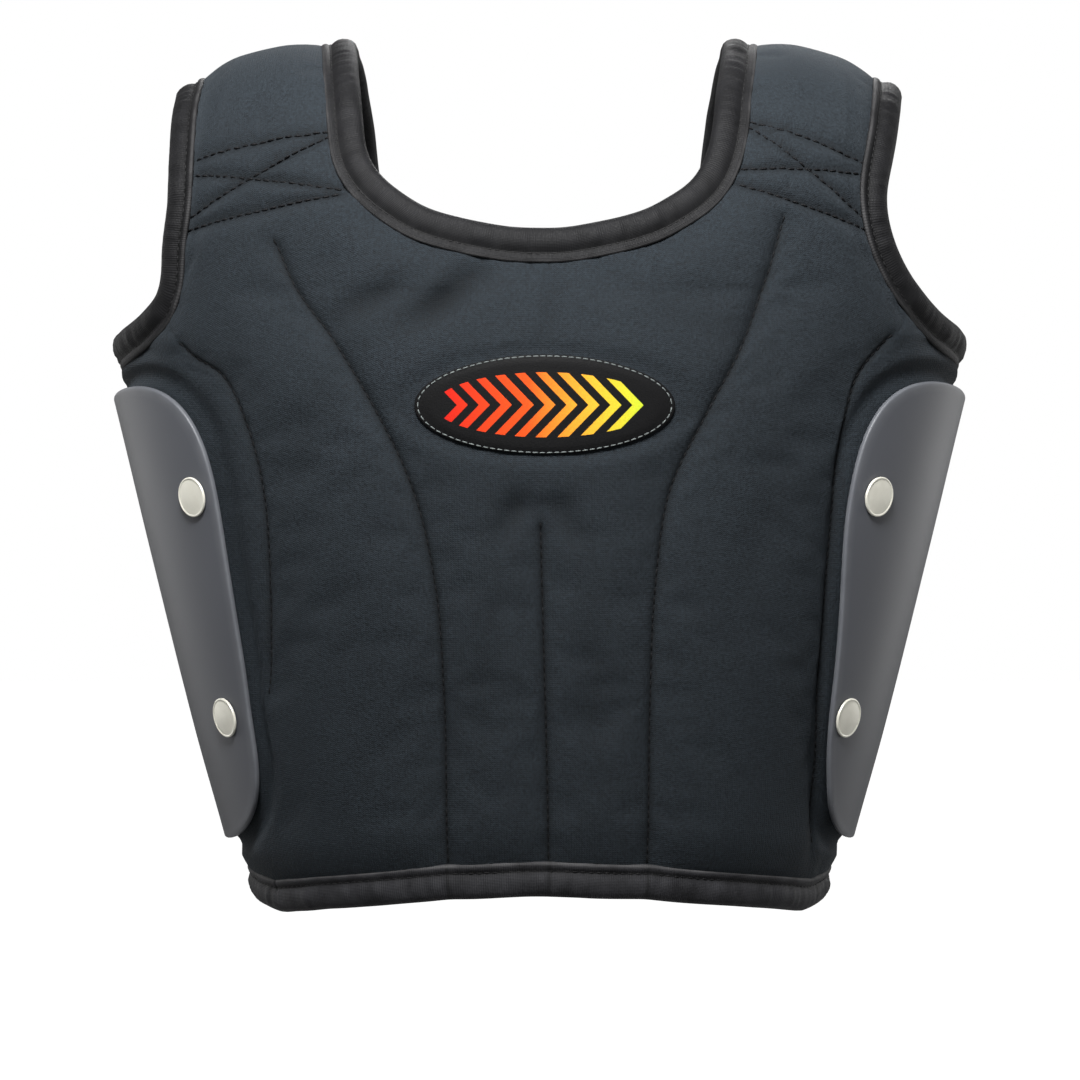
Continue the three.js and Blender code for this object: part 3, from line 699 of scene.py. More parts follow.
@dataclass(frozen=True)
class TapeFinish:
    """Neutral dark grey binding tape with fine ribs across it, painted shade in its stitched groove and a
    painted highlight along its lip.
    """

    name: str = "binding_tape"
    dark: Colour = (0.0018, 0.0018, 0.0022, 1)
    light: Colour = (0.0092, 0.0092, 0.0105, 1)
    # The colour of the painted highlight along the lip
    edge_highlight: Colour = (0.06, 0.059, 0.06, 1)
    rib: float = 0.9 * MM

    def material(self) -> bpy.types.Material:
        """Builds the material.

        Returns:
            The material.
        """
        paint = Paint(self.name)
        across, along = paint.cloth_place()
        ribs = paint.sums("SINE", paint.sums("MULTIPLY", along, 2 * math.pi / self.rib))
        ribs = paint.between(ribs, 0.5, 0.9)
        cross = paint.sums("SINE", paint.sums("MULTIPLY", across, 2 * math.pi / (0.6 * MM)))
        fuzz = paint.stretched(paint.grain(1300, 3), 2.4)
        clouds = paint.stretched(paint.grain(110, 4), 2.6)
        shade = paint.sums("MULTIPLY_ADD", fuzz, 0.4, paint.sums("MULTIPLY", clouds, 0.5))
        shade = paint.sums("MULTIPLY_ADD", ribs, 0.15, shade)
        # Painted shade from the crease attribute: dark in the stitched groove and across the hem tape where
        # seams meet it.
        crease = paint.node("ShaderNodeAttribute", attribute_name="crease").outputs["Fac"]
        lip = paint.node("ShaderNodeAttribute", attribute_name="lip").outputs["Fac"]
        colour = paint.blend(shade, self.dark, self.light)
        colour = paint.blend(paint.sums("MULTIPLY", crease, 0.7), colour, (0.003, 0.003, 0.003, 1))
        # Painted highlight along the lip, blotchy.
        lip_highlight = paint.sums("MULTIPLY", lip, paint.between(clouds, 0.25, 0.75))
        colour = paint.blend(lip_highlight, colour, self.edge_highlight)
        paint.set(Base_Color=colour, Roughness=paint.between(fuzz, 0.55, 0.8))
        paint.set(Specular_IOR_Level=0.24)
        paint.relief(paint.sums("MULTIPLY_ADD", cross, 0.25, ribs), 0.16 * MM, 0.6)
        return paint.material


@dataclass(frozen=True)
class ThreadFinish:
    """Twisted sewing thread of one colour."""

    name: str
    colour: Colour
    roughness: float = 0.6

    def material(self) -> bpy.types.Material:
        """Builds the material.

        Returns:
            The material.
        """
        paint = Paint(self.name)
        fuzz = paint.grain(2200, 2)
        dark = tuple(0.45 * value for value in self.colour[:3]) + (1,)
        paint.set(Base_Color=paint.blend(fuzz, dark, self.colour), Roughness=self.roughness)
        paint.set(Specular_IOR_Level=0.2)
        across, along = paint.cloth_place()
        twist = paint.sums("MULTIPLY_ADD", along, 9000, paint.sums("MULTIPLY", across, 6.28))
        paint.relief(paint.between(paint.sums("SINE", twist), 0.5, 1), 0.08 * MM, 0.7)
        return paint.material


@dataclass(frozen=True)
class PlasticFinish:
    """Satin dark grey moulded plastic with a fine grain, paler at its rim: partly scuffing and partly a
    painted highlight.
    """

    name: str = "satin_plastic"
    dark: Colour = (0.076, 0.08, 0.092, 1)
    light: Colour = (0.09, 0.0945, 0.108, 1)
    # The paler rim colour: partly scuffing and partly a painted highlight
    edge_highlight: Colour = (0.165, 0.173, 0.187, 1)

    def material(self) -> bpy.types.Material:
        """Builds the material.

        Returns:
            The material.
        """
        paint = Paint(self.name)
        clouds = paint.grain(22, 3)
        grain = paint.grain(2600, 3)
        colour = paint.blend(clouds, self.dark, self.light)
        # The rim attribute paints the rim paler, partly scuffing and partly a painted highlight.
        rim = paint.node("ShaderNodeAttribute", attribute_name="rim").outputs["Fac"]
        rim_wear_and_highlight = paint.sums("MULTIPLY", rim, paint.between(paint.grain(140, 3), 0.1, 0.7))
        colour = paint.blend(rim_wear_and_highlight, colour, self.edge_highlight)
        paint.set(Base_Color=colour)
        paint.set(Roughness=paint.sums("MULTIPLY_ADD", grain, 0.12, paint.between(clouds, 0.38, 0.46)))
        paint.relief(grain, 0.05 * MM, 0.35)
        return paint.material


@dataclass(frozen=True)
class NickelFinish:
    """Warm nickel plating, faintly brushed and clouded, with a pale, mostly non-metal colour that is partly
    its own and partly a painted reflection of the white surroundings.
    """

    name: str = "pale_nickel"
    dark: Colour = (0.84, 0.82, 0.71, 1)
    light: Colour = (0.97, 0.95, 0.84, 1)

    def material(self) -> bpy.types.Material:
        """Builds the material.

        Returns:
            The material.
        """
        paint = Paint(self.name)
        clouds = paint.grain(260, 4)
        fine = paint.grain(3000, 2)
        # The pale base colour and low metallic are partly a painted reflection of the white surroundings.
        paint.set(Base_Color=paint.blend(clouds, self.dark, self.light), Metallic=0.3)
        paint.set(Roughness=paint.sums("MULTIPLY_ADD", fine, 0.12, paint.between(clouds, 0.26, 0.36)))
        paint.relief(fine, 0.03 * MM, 0.3)
        return paint.material


@dataclass(frozen=True)
class PatchFinish:
    """Black patch face with a row of chevrons that run from red through orange to lime."""

    name: str = "patch_face"
    field_dark: Colour = (0.0012, 0.0012, 0.0014, 1)
    field_light: Colour = (0.0045, 0.0045, 0.005, 1)
    chevrons: int = 10
    half_length: float = 0.84
    half_height: float = 0.66
    slant: float = 0.24
    fill: float = 0.5

    def material(self) -> bpy.types.Material:
        """Builds the material.

        Returns:
            The material.
        """
        paint = Paint(self.name)
        across, along = paint.cloth_place()
        away = paint.sums("ABSOLUTE", along)
        lean = paint.sums("MULTIPLY_ADD", away, self.slant / self.half_height, across)
        step = 2 * self.half_length / self.chevrons
        count = paint.sums("DIVIDE", paint.sums("ADD", lean, self.half_length), step)
        bar = paint.sums("LESS_THAN", paint.sums("FRACT", count), self.fill)
        off_middle = paint.sums("ABSOLUTE", paint.sums("SUBTRACT", count, (self.chevrons + 1) / 2))
        whole = paint.sums("LESS_THAN", off_middle, (self.chevrons - 1) / 2)
        wide = paint.sums("POWER", paint.sums("DIVIDE", across, self.half_length), 2)
        tall = paint.sums("POWER", paint.sums("DIVIDE", away, self.half_height), 2)
        inside = paint.sums("LESS_THAN", paint.sums("ADD", wide, tall), 1)
        shape = paint.sums("MULTIPLY", paint.sums("MULTIPLY", bar, whole), inside)
        ramp = paint.node("ShaderNodeValToRGB", {"Fac": paint.between(across, 0.5, 1.12)})
        ramp.color_ramp.elements[0].color = (0.6, 0.006, 0.005, 1)
        ramp.color_ramp.elements[1].color = (0.5, 0.72, 0.03, 1)
        middle = ramp.color_ramp.elements.new(0.42)
        middle.color = (0.78, 0.08, 0.008, 1)
        warm = ramp.color_ramp.elements.new(0.72)
        warm.color = (0.85, 0.42, 0.03, 1)
        grain = paint.stretched(paint.grain(1600, 3), 2.2)
        ground = paint.blend(grain, self.field_dark, self.field_light)
        printed = paint.blend(paint.between(grain, 0.0, 0.22), ramp.outputs["Color"], (0.1, 0.02, 0.01, 1))
        paint.set(Base_Color=paint.blend(shape, ground, printed), Roughness=paint.between(grain, 0.55, 0.75))
        paint.set(Specular_IOR_Level=0.14)
        paint.relief(paint.sums("MULTIPLY_ADD", shape, 1.5, grain), 0.12 * MM, 0.5)
        return paint.material


@dataclass(frozen=True)
class PileFinish:
    """Dense black loop pile."""

    name: str = "loop_pile"
    dark: Colour = (0.002, 0.002, 0.0023, 1)
    light: Colour = (0.014, 0.014, 0.0155, 1)

    def material(self) -> bpy.types.Material:
        """Builds the material.

        Returns:
            The material.
        """
        paint = Paint(self.name)
        loops = paint.node(
            "ShaderNodeTexVoronoi",
            {"Vector": paint.node("ShaderNodeTexCoord").outputs["Object"], "Scale": 900.0},
        ).outputs["Distance"]
        fuzz = paint.grain(700, 4)
        shade = paint.sums("MULTIPLY_ADD", loops, 0.5, paint.sums("MULTIPLY", fuzz, 0.5))
        paint.set(Base_Color=paint.blend(shade, self.dark, self.light))
        paint.set(Roughness=paint.between(fuzz, 0.85, 1.0))
        paint.set(Sheen_Weight=0.06, Sheen_Roughness=0.6, Specular_IOR_Level=0.15)
        paint.relief(shade, 0.6 * MM, 0.8)
        return paint.material


@dataclass(frozen=True)
class FloorFinish:
    """Matt studio floor, faintly uneven, with a painted glow, seen only by the camera, that makes it pale
    near the vest and melts it into the white surroundings far away.
    """

    name: str = "studio_floor"
    near: float = 0.2
    far: float = 2.2
    glow: float = 0.5

    def material(self) -> bpy.types.Material:
        """Builds the material.

        Returns:
            The material.
        """
        paint = Paint(self.name)
        clouds = paint.grain(3, 3)
        place = paint.node("ShaderNodeTexCoord").outputs["Object"]
        away = paint.node("ShaderNodeVectorMath", {0: place}, operation="LENGTH").outputs["Value"]
        share = paint.sums("DIVIDE", paint.sums("SUBTRACT", away, self.near), self.far - self.near)
        # Painted glow, seen only by the camera: half strength near the vest, full strength far away.
        glow = paint.sums("MINIMUM", paint.sums("MAXIMUM", share, self.glow), 1)
        glow = paint.sums("MULTIPLY", glow, paint.node("ShaderNodeLightPath").outputs["Is Camera Ray"])
        paint.set(Base_Color=paint.blend(clouds, (0.42, 0.42, 0.42, 1), (0.47, 0.47, 0.47, 1)), Roughness=0.9)
        paint.set(Emission_Color=(1, 1, 1, 1), Emission_Strength=glow)
        return paint.material


class Stitch(NamedTuple):
    """One stitch: its length, the gap to the next, its thread's radius and how deep its ends lie."""

    length: float = 3.0 * MM
    gap: float = 0.7 * MM
    thread: float = 0.34 * MM
    sunk: float = 0.1 * MM


QUILT_STITCH = Stitch(thread=0.46 * MM)
TAPE_STITCH = Stitch(2.3 * MM, 0.9 * MM, 0.26 * MM, 0.12 * MM)
PATCH_STITCH = Stitch(2.2 * MM, 0.6 * MM, 0.28 * MM, 0.12 * MM)
FIELD_STITCH = Stitch(2.6 * MM, 1 * MM, 0.28 * MM, 0.12 * MM)


@dataclass
class SeamLine:
    """A sewn line on a panel's lining, with the crease that it pulls into the padding."""

    points: Points
    depth: float
    width: float = 1.3 * MM
    spread: float = 5 * MM
    fade_start: float = 0.0
    fade_end: float = 0.0
    stitch: Stitch = Stitch()

    def __post_init__(self) -> None:
        """Spaces the line's points evenly and works out how deep the crease is at each."""
        self.points = spaced(self.points, 0.5 * MM)
        self.along = walked(self.points)
        left = self.along[-1] - self.along
        start = smooth(self.along / self.fade_start) if self.fade_start else 1.0
        end = smooth(left / self.fade_end) if self.fade_end else 1.0
        self.strength = start * end * np.ones(len(self.points))


class Nearest:
    """Looks up the nearest of many points."""

    def __init__(self, points: Points) -> None:
        """Takes the points to look among.

        Args:
            points: The points to look among.
        """
        self.tree = KDTree(len(points))
        for i, point in enumerate(points):
            self.tree.insert(Vector(point), i)
        self.tree.balance()

    def look(self, points: Points) -> tuple[Points, Points]:
        """The nearest point's number and its distance, for each point."""
        found = [self.tree.find(Vector(p)) for p in points]
        return np.array([f[1] for f in found]), np.array([f[2] for f in found])


class Carried(Protocol):
    """A piece that lies on a panel's cover, holds the padding flat and sinks into it at its rim."""

    sink: float

    def covers(self, points: Points) -> Points:
        """From 0 to 1, how firmly the piece lies on points of the lining."""
        ...


@dataclass
class Panel:
    """One padded panel: a fine grid hung between the rails of its cut, puffed between its seams."""

    name: str
    node: str
    facing: Facing
    cut: dict[Side, tuple[CutRow, ...]]
    torso: Torso
    folds: tuple[Fold, ...] = ()
    carried: list[Carried] = field(default_factory=list)
    pad: float = 8 * MM
    edge: float = 4 * MM
    band: float = 8.5 * MM
    swell: float = 20 * MM
    strap_inner: float = 80 * MM
    strap_width: float = 68 * MM
    strap_seam_share: float = 0.47
    strap_pocket_inset: float = 23 * MM
    strap_rows: int = 3
    neckline_row: int = 8
    neckline_dip: float = 1.8
    seam_gap: float = 0.3 * MM
    lean: float = 3.6 * MM
    lean_rows: float = 4.5
    long_seam_rows: tuple[float, float] = (9, 10)
    pocket_rows: float = 7.7
    pocket_starts: tuple[float, float] = (1.9, 0.45)
    middle_rows: float = 3.66
    pocket_depth: float = 1.3 * MM
    unevenness: float = 0.32 * MM
    # Painted shade in the folds, for each metre of their depth
    fold_shade: float = 0.17 / MM
    bite_sharpness: float = 1.3
    narrow_share: float = 0.55
    wide_share: float = 0.45
    pucker: float = 0.34 * MM
    pucker_step: float = 4.2 * MM
    pucker_reach: float = 4.5 * MM
    pucker_end: float = 16 * MM
    soft_from: float = 12 * MM
    puff_frames: int = 12
    puff_pressure: float = 2.6
    puff_cap: float = 1.7 * MM
    crowding: float = 0.72
    cloth_mass: float = 0.3
    cloth_stretch: float = 12
    cloth_shear: float = 6
    cloth_shrink: float = -0.006
    pocket_rail: float = 3
    pocket_ease: float = 0.12
    flank_from: float = 3.35
    flank_ease: float = 0.4
    upper_ease: float = 0.9
    lower_ease: float = 1.2
    cells: tuple[int, ...] = (16, 14, 38, 34)
    row_cells: tuple[int, ...] = (17, 17, 17, 16, 15, 11, 9, 10, 8, 6, 7, 8, 13, 12, 10)

    def __post_init__(self) -> None:
        """Lays out the grid and the seams."""
        self.last_row = len(self.cut[Side.RIGHT]) - 1 + self.strap_rows
        self.rows = self.row_places()
        self.columns = self.column_places()
        self.across = np.concatenate([-self.columns[::-1], self.columns[1:]])
        self.lining = self.grid()
        self.valid = self.in_panel()
        self.out = self.torso.normals(self.lining)
        self.seams = self.seam_lines()

    def row_places(self) -> Points:
        """Where the grid's rows lie, counted in rows of the cut."""
        places = [np.linspace(i, i + 1, n, endpoint=False) for i, n in enumerate(self.row_cells)]
        return np.concatenate([*places, [self.last_row]])

    def column_places(self) -> Points:
        """Where the columns of one half lie, counted in rails, close together beside each rail.

        Returns:
            The places, from 0 at the middle rail.
        """
        places = []
        for k, n in enumerate(self.cells):
            t = np.linspace(0, 1, n, endpoint=False)
            places.append(k + t - self.crowding * np.sin(2 * math.pi * t) / (2 * math.pi))
        return np.concatenate([*places, [len(self.cells)]])

    def rail(self, side: Side, column: str, strap_x: float | None, rows: Points) -> Points:
        """A smooth line over the torso through one column of the cut.

        Args:
            side: Which half.
            column: The column's name.
            strap_x: Where it meets the shoulder seam, or none for the middle.
            rows: The rows to take it at.

        Returns:
            The line's points for the right half, whichever the side.
        """
        places = [row.at(column) for row in self.cut[side] if row.at(column)]
        turns, shares = np.array(places, float).T
        points = self.torso.around(turns, shares * self.torso.height, self.facing)
        if column == "middle":
            points[:, 0] = side.value * self.lean * smooth(1 - np.arange(len(points)) / self.lean_rows)
        if strap_x is not None:
            start = points[-1]
            rise = np.sin(np.arange(1, self.strap_rows + 1) / self.strap_rows * math.pi / 2)
            x = start[0] + (strap_x - start[0]) * rise
            z = start[2] + (self.torso.ridge(x) - start[2]) * rise
            points = np.vstack([points, self.torso.ahead(x, z, self.facing)])
        return curve_through(points, rows)

    def half(self, side: Side, rows: Points, columns: Points) -> Points:
        """The lining of one half of the panel, at rows and columns.

        Args:
            side: Which half.
            rows: Places along the rails, in rows.
            columns: Places across them, in rails.

        Returns:
            The points, row by row.
        """
        outer = self.strap_inner + self.strap_width
        seam_x = self.strap_inner + self.strap_width * self.strap_seam_share
        low = np.minimum(rows, self.neckline_row)
        rails = [
            self.rail(side, "middle", None, low),
            self.rail(side, "neck", self.strap_inner, rows),
            self.rail(side, "seam", seam_x, rows),
            self.rail(side, "pocket", outer - self.strap_pocket_inset, rows),
            self.rail(side, "edge", outer, rows),
        ]
        grid = np.zeros((len(rows), len(columns), 3))
        for j, place in enumerate(columns):
            k = min(int(place), len(rails) - 2)
            share = place - k
            grid[:, j] = rails[k] * (1 - share) + rails[k + 1] * share
            if k == 0:
                dip = share**self.neckline_dip
                grid[:, j, 2] = rails[0][:, 2] * (1 - dip) + rails[1][:, 2] * dip
        grid = self.torso.onto(grid)
        grid[rows >= self.last_row, :, 1] = self.facing.value * self.seam_gap / 2
        grid[..., 0] *= side.value
        return grid

    def grid(self) -> Points:
        """The lining of the whole panel, from its left edge to its right edge."""
        left, right = (self.half(side, self.rows, self.columns) for side in Side)
        return np.concatenate([left[:, ::-1], right[:, 1:]], axis=1)

    def in_panel(self) -> Points:
        """True for each grid point that is on the panel, and false in the neck's hollow."""
        below = self.rows[:, None] <= self.neckline_row + 1e-9
        return below | (np.abs(self.across)[None, :] >= 1 - 1e-9)

    def column_line(self, place: float, first: float, last: float) -> Points:
        """The line of the lining along one column, signed by side, between two rows."""
        side = Side.LEFT if place < 0 else Side.RIGHT
        return self.half(side, np.linspace(first, last, 160), np.array([abs(place)]))[:, 0]

    def seam_lines(self) -> list[SeamLine]:
        """The panel's sewn lines.

        Returns:
            The long, shoulder, pocket and middle seams, and the quilting.
        """
        front = self.facing is Facing.FRONT
        seams = []
        for k, side in enumerate(Side):
            top, fade = (self.long_seam_rows[k], 9 * MM) if front else (self.last_row, 0.0)
            seams.append(SeamLine(self.column_line(2 * side.value, 0, top), 3.1 * MM, fade_end=fade))
            seams.append(SeamLine(self.shoulder_line(side), 3.6 * MM, width=1.6 * MM))
            if front:
                pocket = self.column_line(3 * side.value, self.pocket_starts[k], self.pocket_rows)
                seams.append(SeamLine(pocket, 2.5 * MM, 1.3 * MM, 6 * MM, 26 * MM, 8 * MM))
        if front:
            middle = self.column_line(0, 0, self.middle_rows)
            seams.append(SeamLine(middle, 2.3 * MM, spread=4 * MM, fade_end=4 * MM))
            for ends in QUILT_LINES:
                x, z = np.linspace(*np.array(ends) * MM, 60).T
                line = self.torso.ahead(x, z, self.facing)
                seams.append(SeamLine(line, 2.4 * MM, 1.5 * MM, 3.8 * MM, stitch=QUILT_STITCH))
        return seams

    def shoulder_line(self, side: Side) -> Points:
        """The line of the shoulder seam on one side."""
        places = np.linspace(1, len(self.cells), 60)
        return self.half(side, np.array([self.last_row]), places)[0]

    def rim_points(self) -> Points:
        """The points along the hem, the flanks, the armholes and the neckline.

        Returns:
            Closely spaced points.
        """
        g, last = self.lining, self.lining.shape[1] - 1
        neck_rows = self.rows >= self.neckline_row - 1e-9
        neck = [g[neck_rows, j] for j in np.flatnonzero(np.isclose(np.abs(self.across), 1))]
        dip = g[np.isclose(self.rows, self.neckline_row)][0][np.abs(self.across) <= 1 + 1e-9]
        lines = [g[0], g[:, 0], g[:, last], dip, *neck]
        return np.vstack([spaced(line, 1 * MM) for line in lines])

    def lifts(self) -> tuple[Points, Points, Points]:
        """How thick the padding is at each grid point, how deep in a crease, and how far from the rim.

        Returns:
            The thickness, the puckers beside the seams and the distance from the rim.
        """
        flat = self.lining.reshape(-1, 3)
        _, rim = Nearest(self.rim_points()).look(flat)
        lines = np.vstack([seam.points for seam in self.seams])
        owner = np.concatenate([np.full(len(s.points), i) for i, s in enumerate(self.seams)])
        along = np.concatenate([s.along for s in self.seams])
        strength = np.concatenate([s.strength for s in self.seams])
        index, away = Nearest(lines).look(flat)
        depth = np.array([s.depth for s in self.seams])[owner[index]]
        width = np.array([s.width for s in self.seams])[owner[index]]
        spread = np.array([s.spread for s in self.seams])[owner[index]]
        narrow = np.exp(-((away / width) ** self.bite_sharpness))
        wide = np.exp(-((away / spread) ** 2))
        bite = strength[index] * (self.narrow_share * narrow + self.wide_share * wide)
        rise = np.sin(math.pi / 2 * np.clip((rim - self.band) / self.swell, 0, 1))
        thick = self.edge + (self.pad - self.edge) * rise
        thick = thick - depth * bite * np.clip((thick - 3 * MM) / (4 * MM), 0.25, 1)
        place = along[index] / self.pucker_step + 31 * owner[index]
        gather = np.zeros(len(flat))
        near = away < self.pucker_end
        gather[near] = wavering(place[near], 2.5)
        far = np.exp(-away / self.pucker_reach)
        pucker = self.pucker * strength[index] * gather * far * (1 - 0.6 * narrow)
        shape = self.lining.shape[:2]
        # The narrow part of each seam's crease: it pins the cloth, and it is also the painted shade in the
        # seams.
        self.crease = (narrow * strength[index]).reshape(shape)
        return thick.reshape(shape), pucker.reshape(shape), rim.reshape(shape)

    def fold_depths(self) -> Points:
        """How deep the folds of the hanging cloth sink in at each grid point.

        Returns:
            The depths, in metres.
        """
        depths = np.zeros(self.lining.shape[:2])
        for fold in self.folds:
            dx = self.lining[..., 0] - fold.x * MM
            dz = self.lining[..., 2] - fold.height * MM
            turn = math.radians(fold.slant)
            along = dx * math.cos(turn) + dz * math.sin(turn)
            across = dz * math.cos(turn) - dx * math.sin(turn)
            shape = np.exp(-((along / (fold.length * MM)) ** 2) - (across / (fold.width * MM)) ** 2)
            depths += fold.depth * MM * shape
        return depths

    def waves(self) -> Points:
        """The slight unevenness of the padding at each grid point."""
        places = map(Vector, self.lining.reshape(-1, 3))
        swells = [2 * noise.noise(p * 15) + noise.noise(p * 38) for p in places]
        return self.unevenness * np.array(swells).reshape(self.lining.shape[:2])

    def quads(self) -> Points:
        """The grid's cells that lie wholly on the panel, as four point numbers each, facing out.

        Returns:
            One row for each cell.
        """
        number = np.arange(self.valid.size).reshape(self.valid.shape)
        a, b, c, d = number[:-1, :-1], number[:-1, 1:], number[1:, 1:], number[1:, :-1]
        whole = self.valid[:-1, :-1] & self.valid[:-1, 1:] & self.valid[1:, 1:] & self.valid[1:, :-1]
        cells = np.stack([a[whole], b[whole], c[whole], d[whole]], axis=-1)
        return cells if self.facing is Facing.FRONT else cells[:, ::-1]

    def pressed(self) -> tuple[Points, Points]:
        """How firmly the carried pieces hold each grid point, from 0 to 1, and how deep they sink in.

        Returns:
            The share held, and the depth in metres.
        """
        firm, sunk = np.zeros(self.lining.shape[:2]), np.zeros(self.lining.shape[:2])
        for piece in self.carried:
            share = piece.covers(self.lining)
            firm = np.maximum(firm, share)
            sunk += piece.sink * 4 * share * (1 - share)
        return firm, sunk

    def pocket_step(self) -> Points:
        """How much lower the padding lies between the pocket seams and the flanks.

        Returns:
            The depths, in metres.
        """
        sunk = np.zeros(self.lining.shape[:2])
        if self.facing is Facing.BACK:
            return sunk
        for sign, start in zip((-1, 1), self.pocket_starts):
            beyond = smooth((sign * self.across - self.pocket_rail) / self.pocket_ease)
            flank = 1 - smooth((sign * self.across - self.flank_from) / self.flank_ease)
            upper = 1 - smooth((self.rows - self.pocket_rows + self.upper_ease) / self.upper_ease)
            rise = smooth((self.rows - start) / self.lower_ease) * upper
            sunk += self.pocket_depth * rise[:, None] * (beyond * flank)[None, :]
        return sunk

    def puffed(self, sheet: Points, held: Points) -> Points:
        """Blows the cover up between its seams as cloth.

        Args:
            sheet: The cover's points, in the grid's order.
            held: How firmly each point is held, from 0 to 1.

        Returns:
            How far each point moved along its normal, kept within the cap.
        """
        data = MeshData()
        data.add(sheet.reshape(-1, 3), self.quads())
        cover = data.build(f"{self.name}_cover")
        group = cover.vertex_groups.new(name="held")
        for i in np.flatnonzero(held.ravel() > 0.02):
            group.add([int(i)], float(held.ravel()[i]), "REPLACE")
        cloth = cover.modifiers.new("Cloth", "CLOTH")
        settings = cloth.settings
        settings.quality = 4
        settings.mass = self.cloth_mass
        settings.tension_stiffness = self.cloth_stretch
        settings.compression_stiffness = self.cloth_stretch
        settings.shear_stiffness = self.cloth_shear
        settings.bending_stiffness = 4
        settings.vertex_group_mass = "held"
        settings.pin_stiffness = 1
        settings.shrink_min = self.cloth_shrink
        settings.use_pressure = True
        settings.uniform_pressure_force = self.puff_pressure
        settings.effector_weights.gravity = 0
        for frame_number in range(1, self.puff_frames + 1):
            bpy.context.scene.frame_set(frame_number)
        shown = cover.evaluated_get(bpy.context.evaluated_depsgraph_get())
        moved = np.zeros(len(shown.data.vertices) * 3, np.float32)
        shown.data.vertices.foreach_get("co", moved)
        bpy.context.scene.frame_set(1)
        bpy.data.objects.remove(cover)
        shift = (moved.reshape(sheet.shape) - sheet) * self.out
        shift = shift.sum(axis=-1)
        LOG.info("%s puffs by up to %.1f mm", self.name, shift[self.valid].max() / MM)
        return self.puff_cap * np.tanh(shift / self.puff_cap)

    def cloth_places(self) -> Points:
        """Each grid point's place on the flat cloth, in metres, across and along.

        Returns:
            Two lengths for each grid point.
        """
        middle = self.lining.shape[1] // 2
        steps = np.linalg.norm(np.diff(self.lining, axis=1), axis=-1)
        across = np.zeros(self.lining.shape[:2])
        across[:, 1:] = np.cumsum(steps, axis=1)
        base = np.argmin(np.abs(np.abs(self.across) - 1))
        zero = across[:, [middle]]
        high = self.rows > self.neckline_row
        zero[high] = (across[:, [base]] - self.lining[:, [base], 0])[high]
        climbs = np.linalg.norm(np.diff(self.lining, axis=0), axis=-1)
        along = np.zeros(self.lining.shape[:2])
        along[1:] = np.cumsum(climbs, axis=0)
        return np.stack([across - zero, along], axis=-1)

    def raised(self) -> tuple[Points, Points]:
        """How far the outer face stands off the lining, and how much painted shade the crease of each seam
        and the folds get.

        Returns:
            The lift in metres and the shade from 0 to 1, at each grid point.
        """
        thick, pucker, rim = self.lifts()
        firm, sunk = self.pressed()
        thick = thick - sunk - self.pocket_step()
        free = 1 - firm
        puff = np.zeros(thick.shape)
        held = np.clip(1.25 * self.crease + (rim < self.band + 1 * MM) + (free < 0.02), 0, 1)
        held[self.rows >= self.last_row] = 1
        puff = self.puffed(self.lining + self.out * thick[..., None], held)
        soft = free * smooth((rim - self.band) / self.soft_from)
        folds = self.fold_depths()
        lift = thick + free * puff + soft * (pucker + self.waves() - folds)
        return lift, np.maximum(self.crease, self.fold_shade * soft * np.maximum(folds, 0))

    def build(self, cover: KnitFinish, lining: LiningFinish) -> Piece:
        """Makes the closed padded panel and dresses it.

        Args:
            cover: The finish of the outer face.
            lining: The finish of the inner face.

        Returns:
            The panel.
        """
        lift, shade = self.raised()
        points = self.torso.framed(self.lining + self.out * lift[..., None]).reshape(-1, 3)
        inner = self.torso.framed(self.lining).reshape(-1, 3)
        faces = self.quads()
        count = len(points)
        ring = self.border(faces)
        sides = np.stack([ring[:, 1], ring[:, 0], ring[:, 0] + count, ring[:, 1] + count], axis=-1)
        places = self.cloth_places().reshape(-1, 2)
        data = MeshData()
        data.add(
            np.vstack([points, inner]),
            np.vstack([faces, faces[:, ::-1] + count, sides]),
            np.vstack([places, places]),
        )
        piece = data.build(self.name)
        # The crease attribute carries the painted shade of the seams and folds to the knit.
        give_attribute(piece, "crease", np.concatenate([shade.ravel(), np.zeros(count)]))
        piece.data.materials.append(cover.material())
        piece.data.materials.append(lining.material())
        slots = np.zeros(len(piece.data.polygons), np.int32)
        slots[len(faces) : 2 * len(faces)] = 1
        piece.data.polygons.foreach_set("material_index", slots)
        self.drop_loose(piece)
        self.tree = BVHTree.FromPolygons([Vector(p) for p in points], faces.tolist())
        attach(piece, ROOT)
        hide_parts(self.node)
        return piece

    @staticmethod
    def border(faces: Points) -> Points:
        """The edges that only one cell uses, in that cell's own direction.

        Args:
            faces: The cells.

        Returns:
            Pairs of point numbers.
        """
        edges = np.vstack([faces[:, [i, (i + 1) % 4]] for i in range(4)])
        known = {(int(a), int(b)) for a, b in edges}
        return np.array([(a, b) for a, b in known if (b, a) not in known])

    @staticmethod
    def drop_loose(piece: Piece) -> None:
        """Removes the points that no face uses.

        Args:
            piece: The piece to clean.
        """
        select_only(piece)
        bpy.ops.object.mode_set(mode="EDIT")
        bpy.ops.mesh.select_all(action="SELECT")
        bpy.ops.mesh.delete_loose()
        bpy.ops.object.mode_set(mode="OBJECT")

    def on_cover(self, line: Points) -> tuple[Points, Points]:
        """Points of the finished cover next to a line of the lining, and its normals there.

        Args:
            line: Points of the lining.

        Returns:
            The points in the frame, and their normals.
        """
        normals = self.torso.normals(line)
        starts = self.torso.framed(line) + normals * 2 * self.pad
        places = []
        for start, normal in zip(starts, normals):
            found = self.tree.ray_cast(Vector(start), Vector(-normal), 2 * self.pad)[0]
            if found is None:
                found = self.tree.find_nearest(Vector(start - normal * self.pad))[0]
            places.append(np.array(found))
        return np.array(places), normals


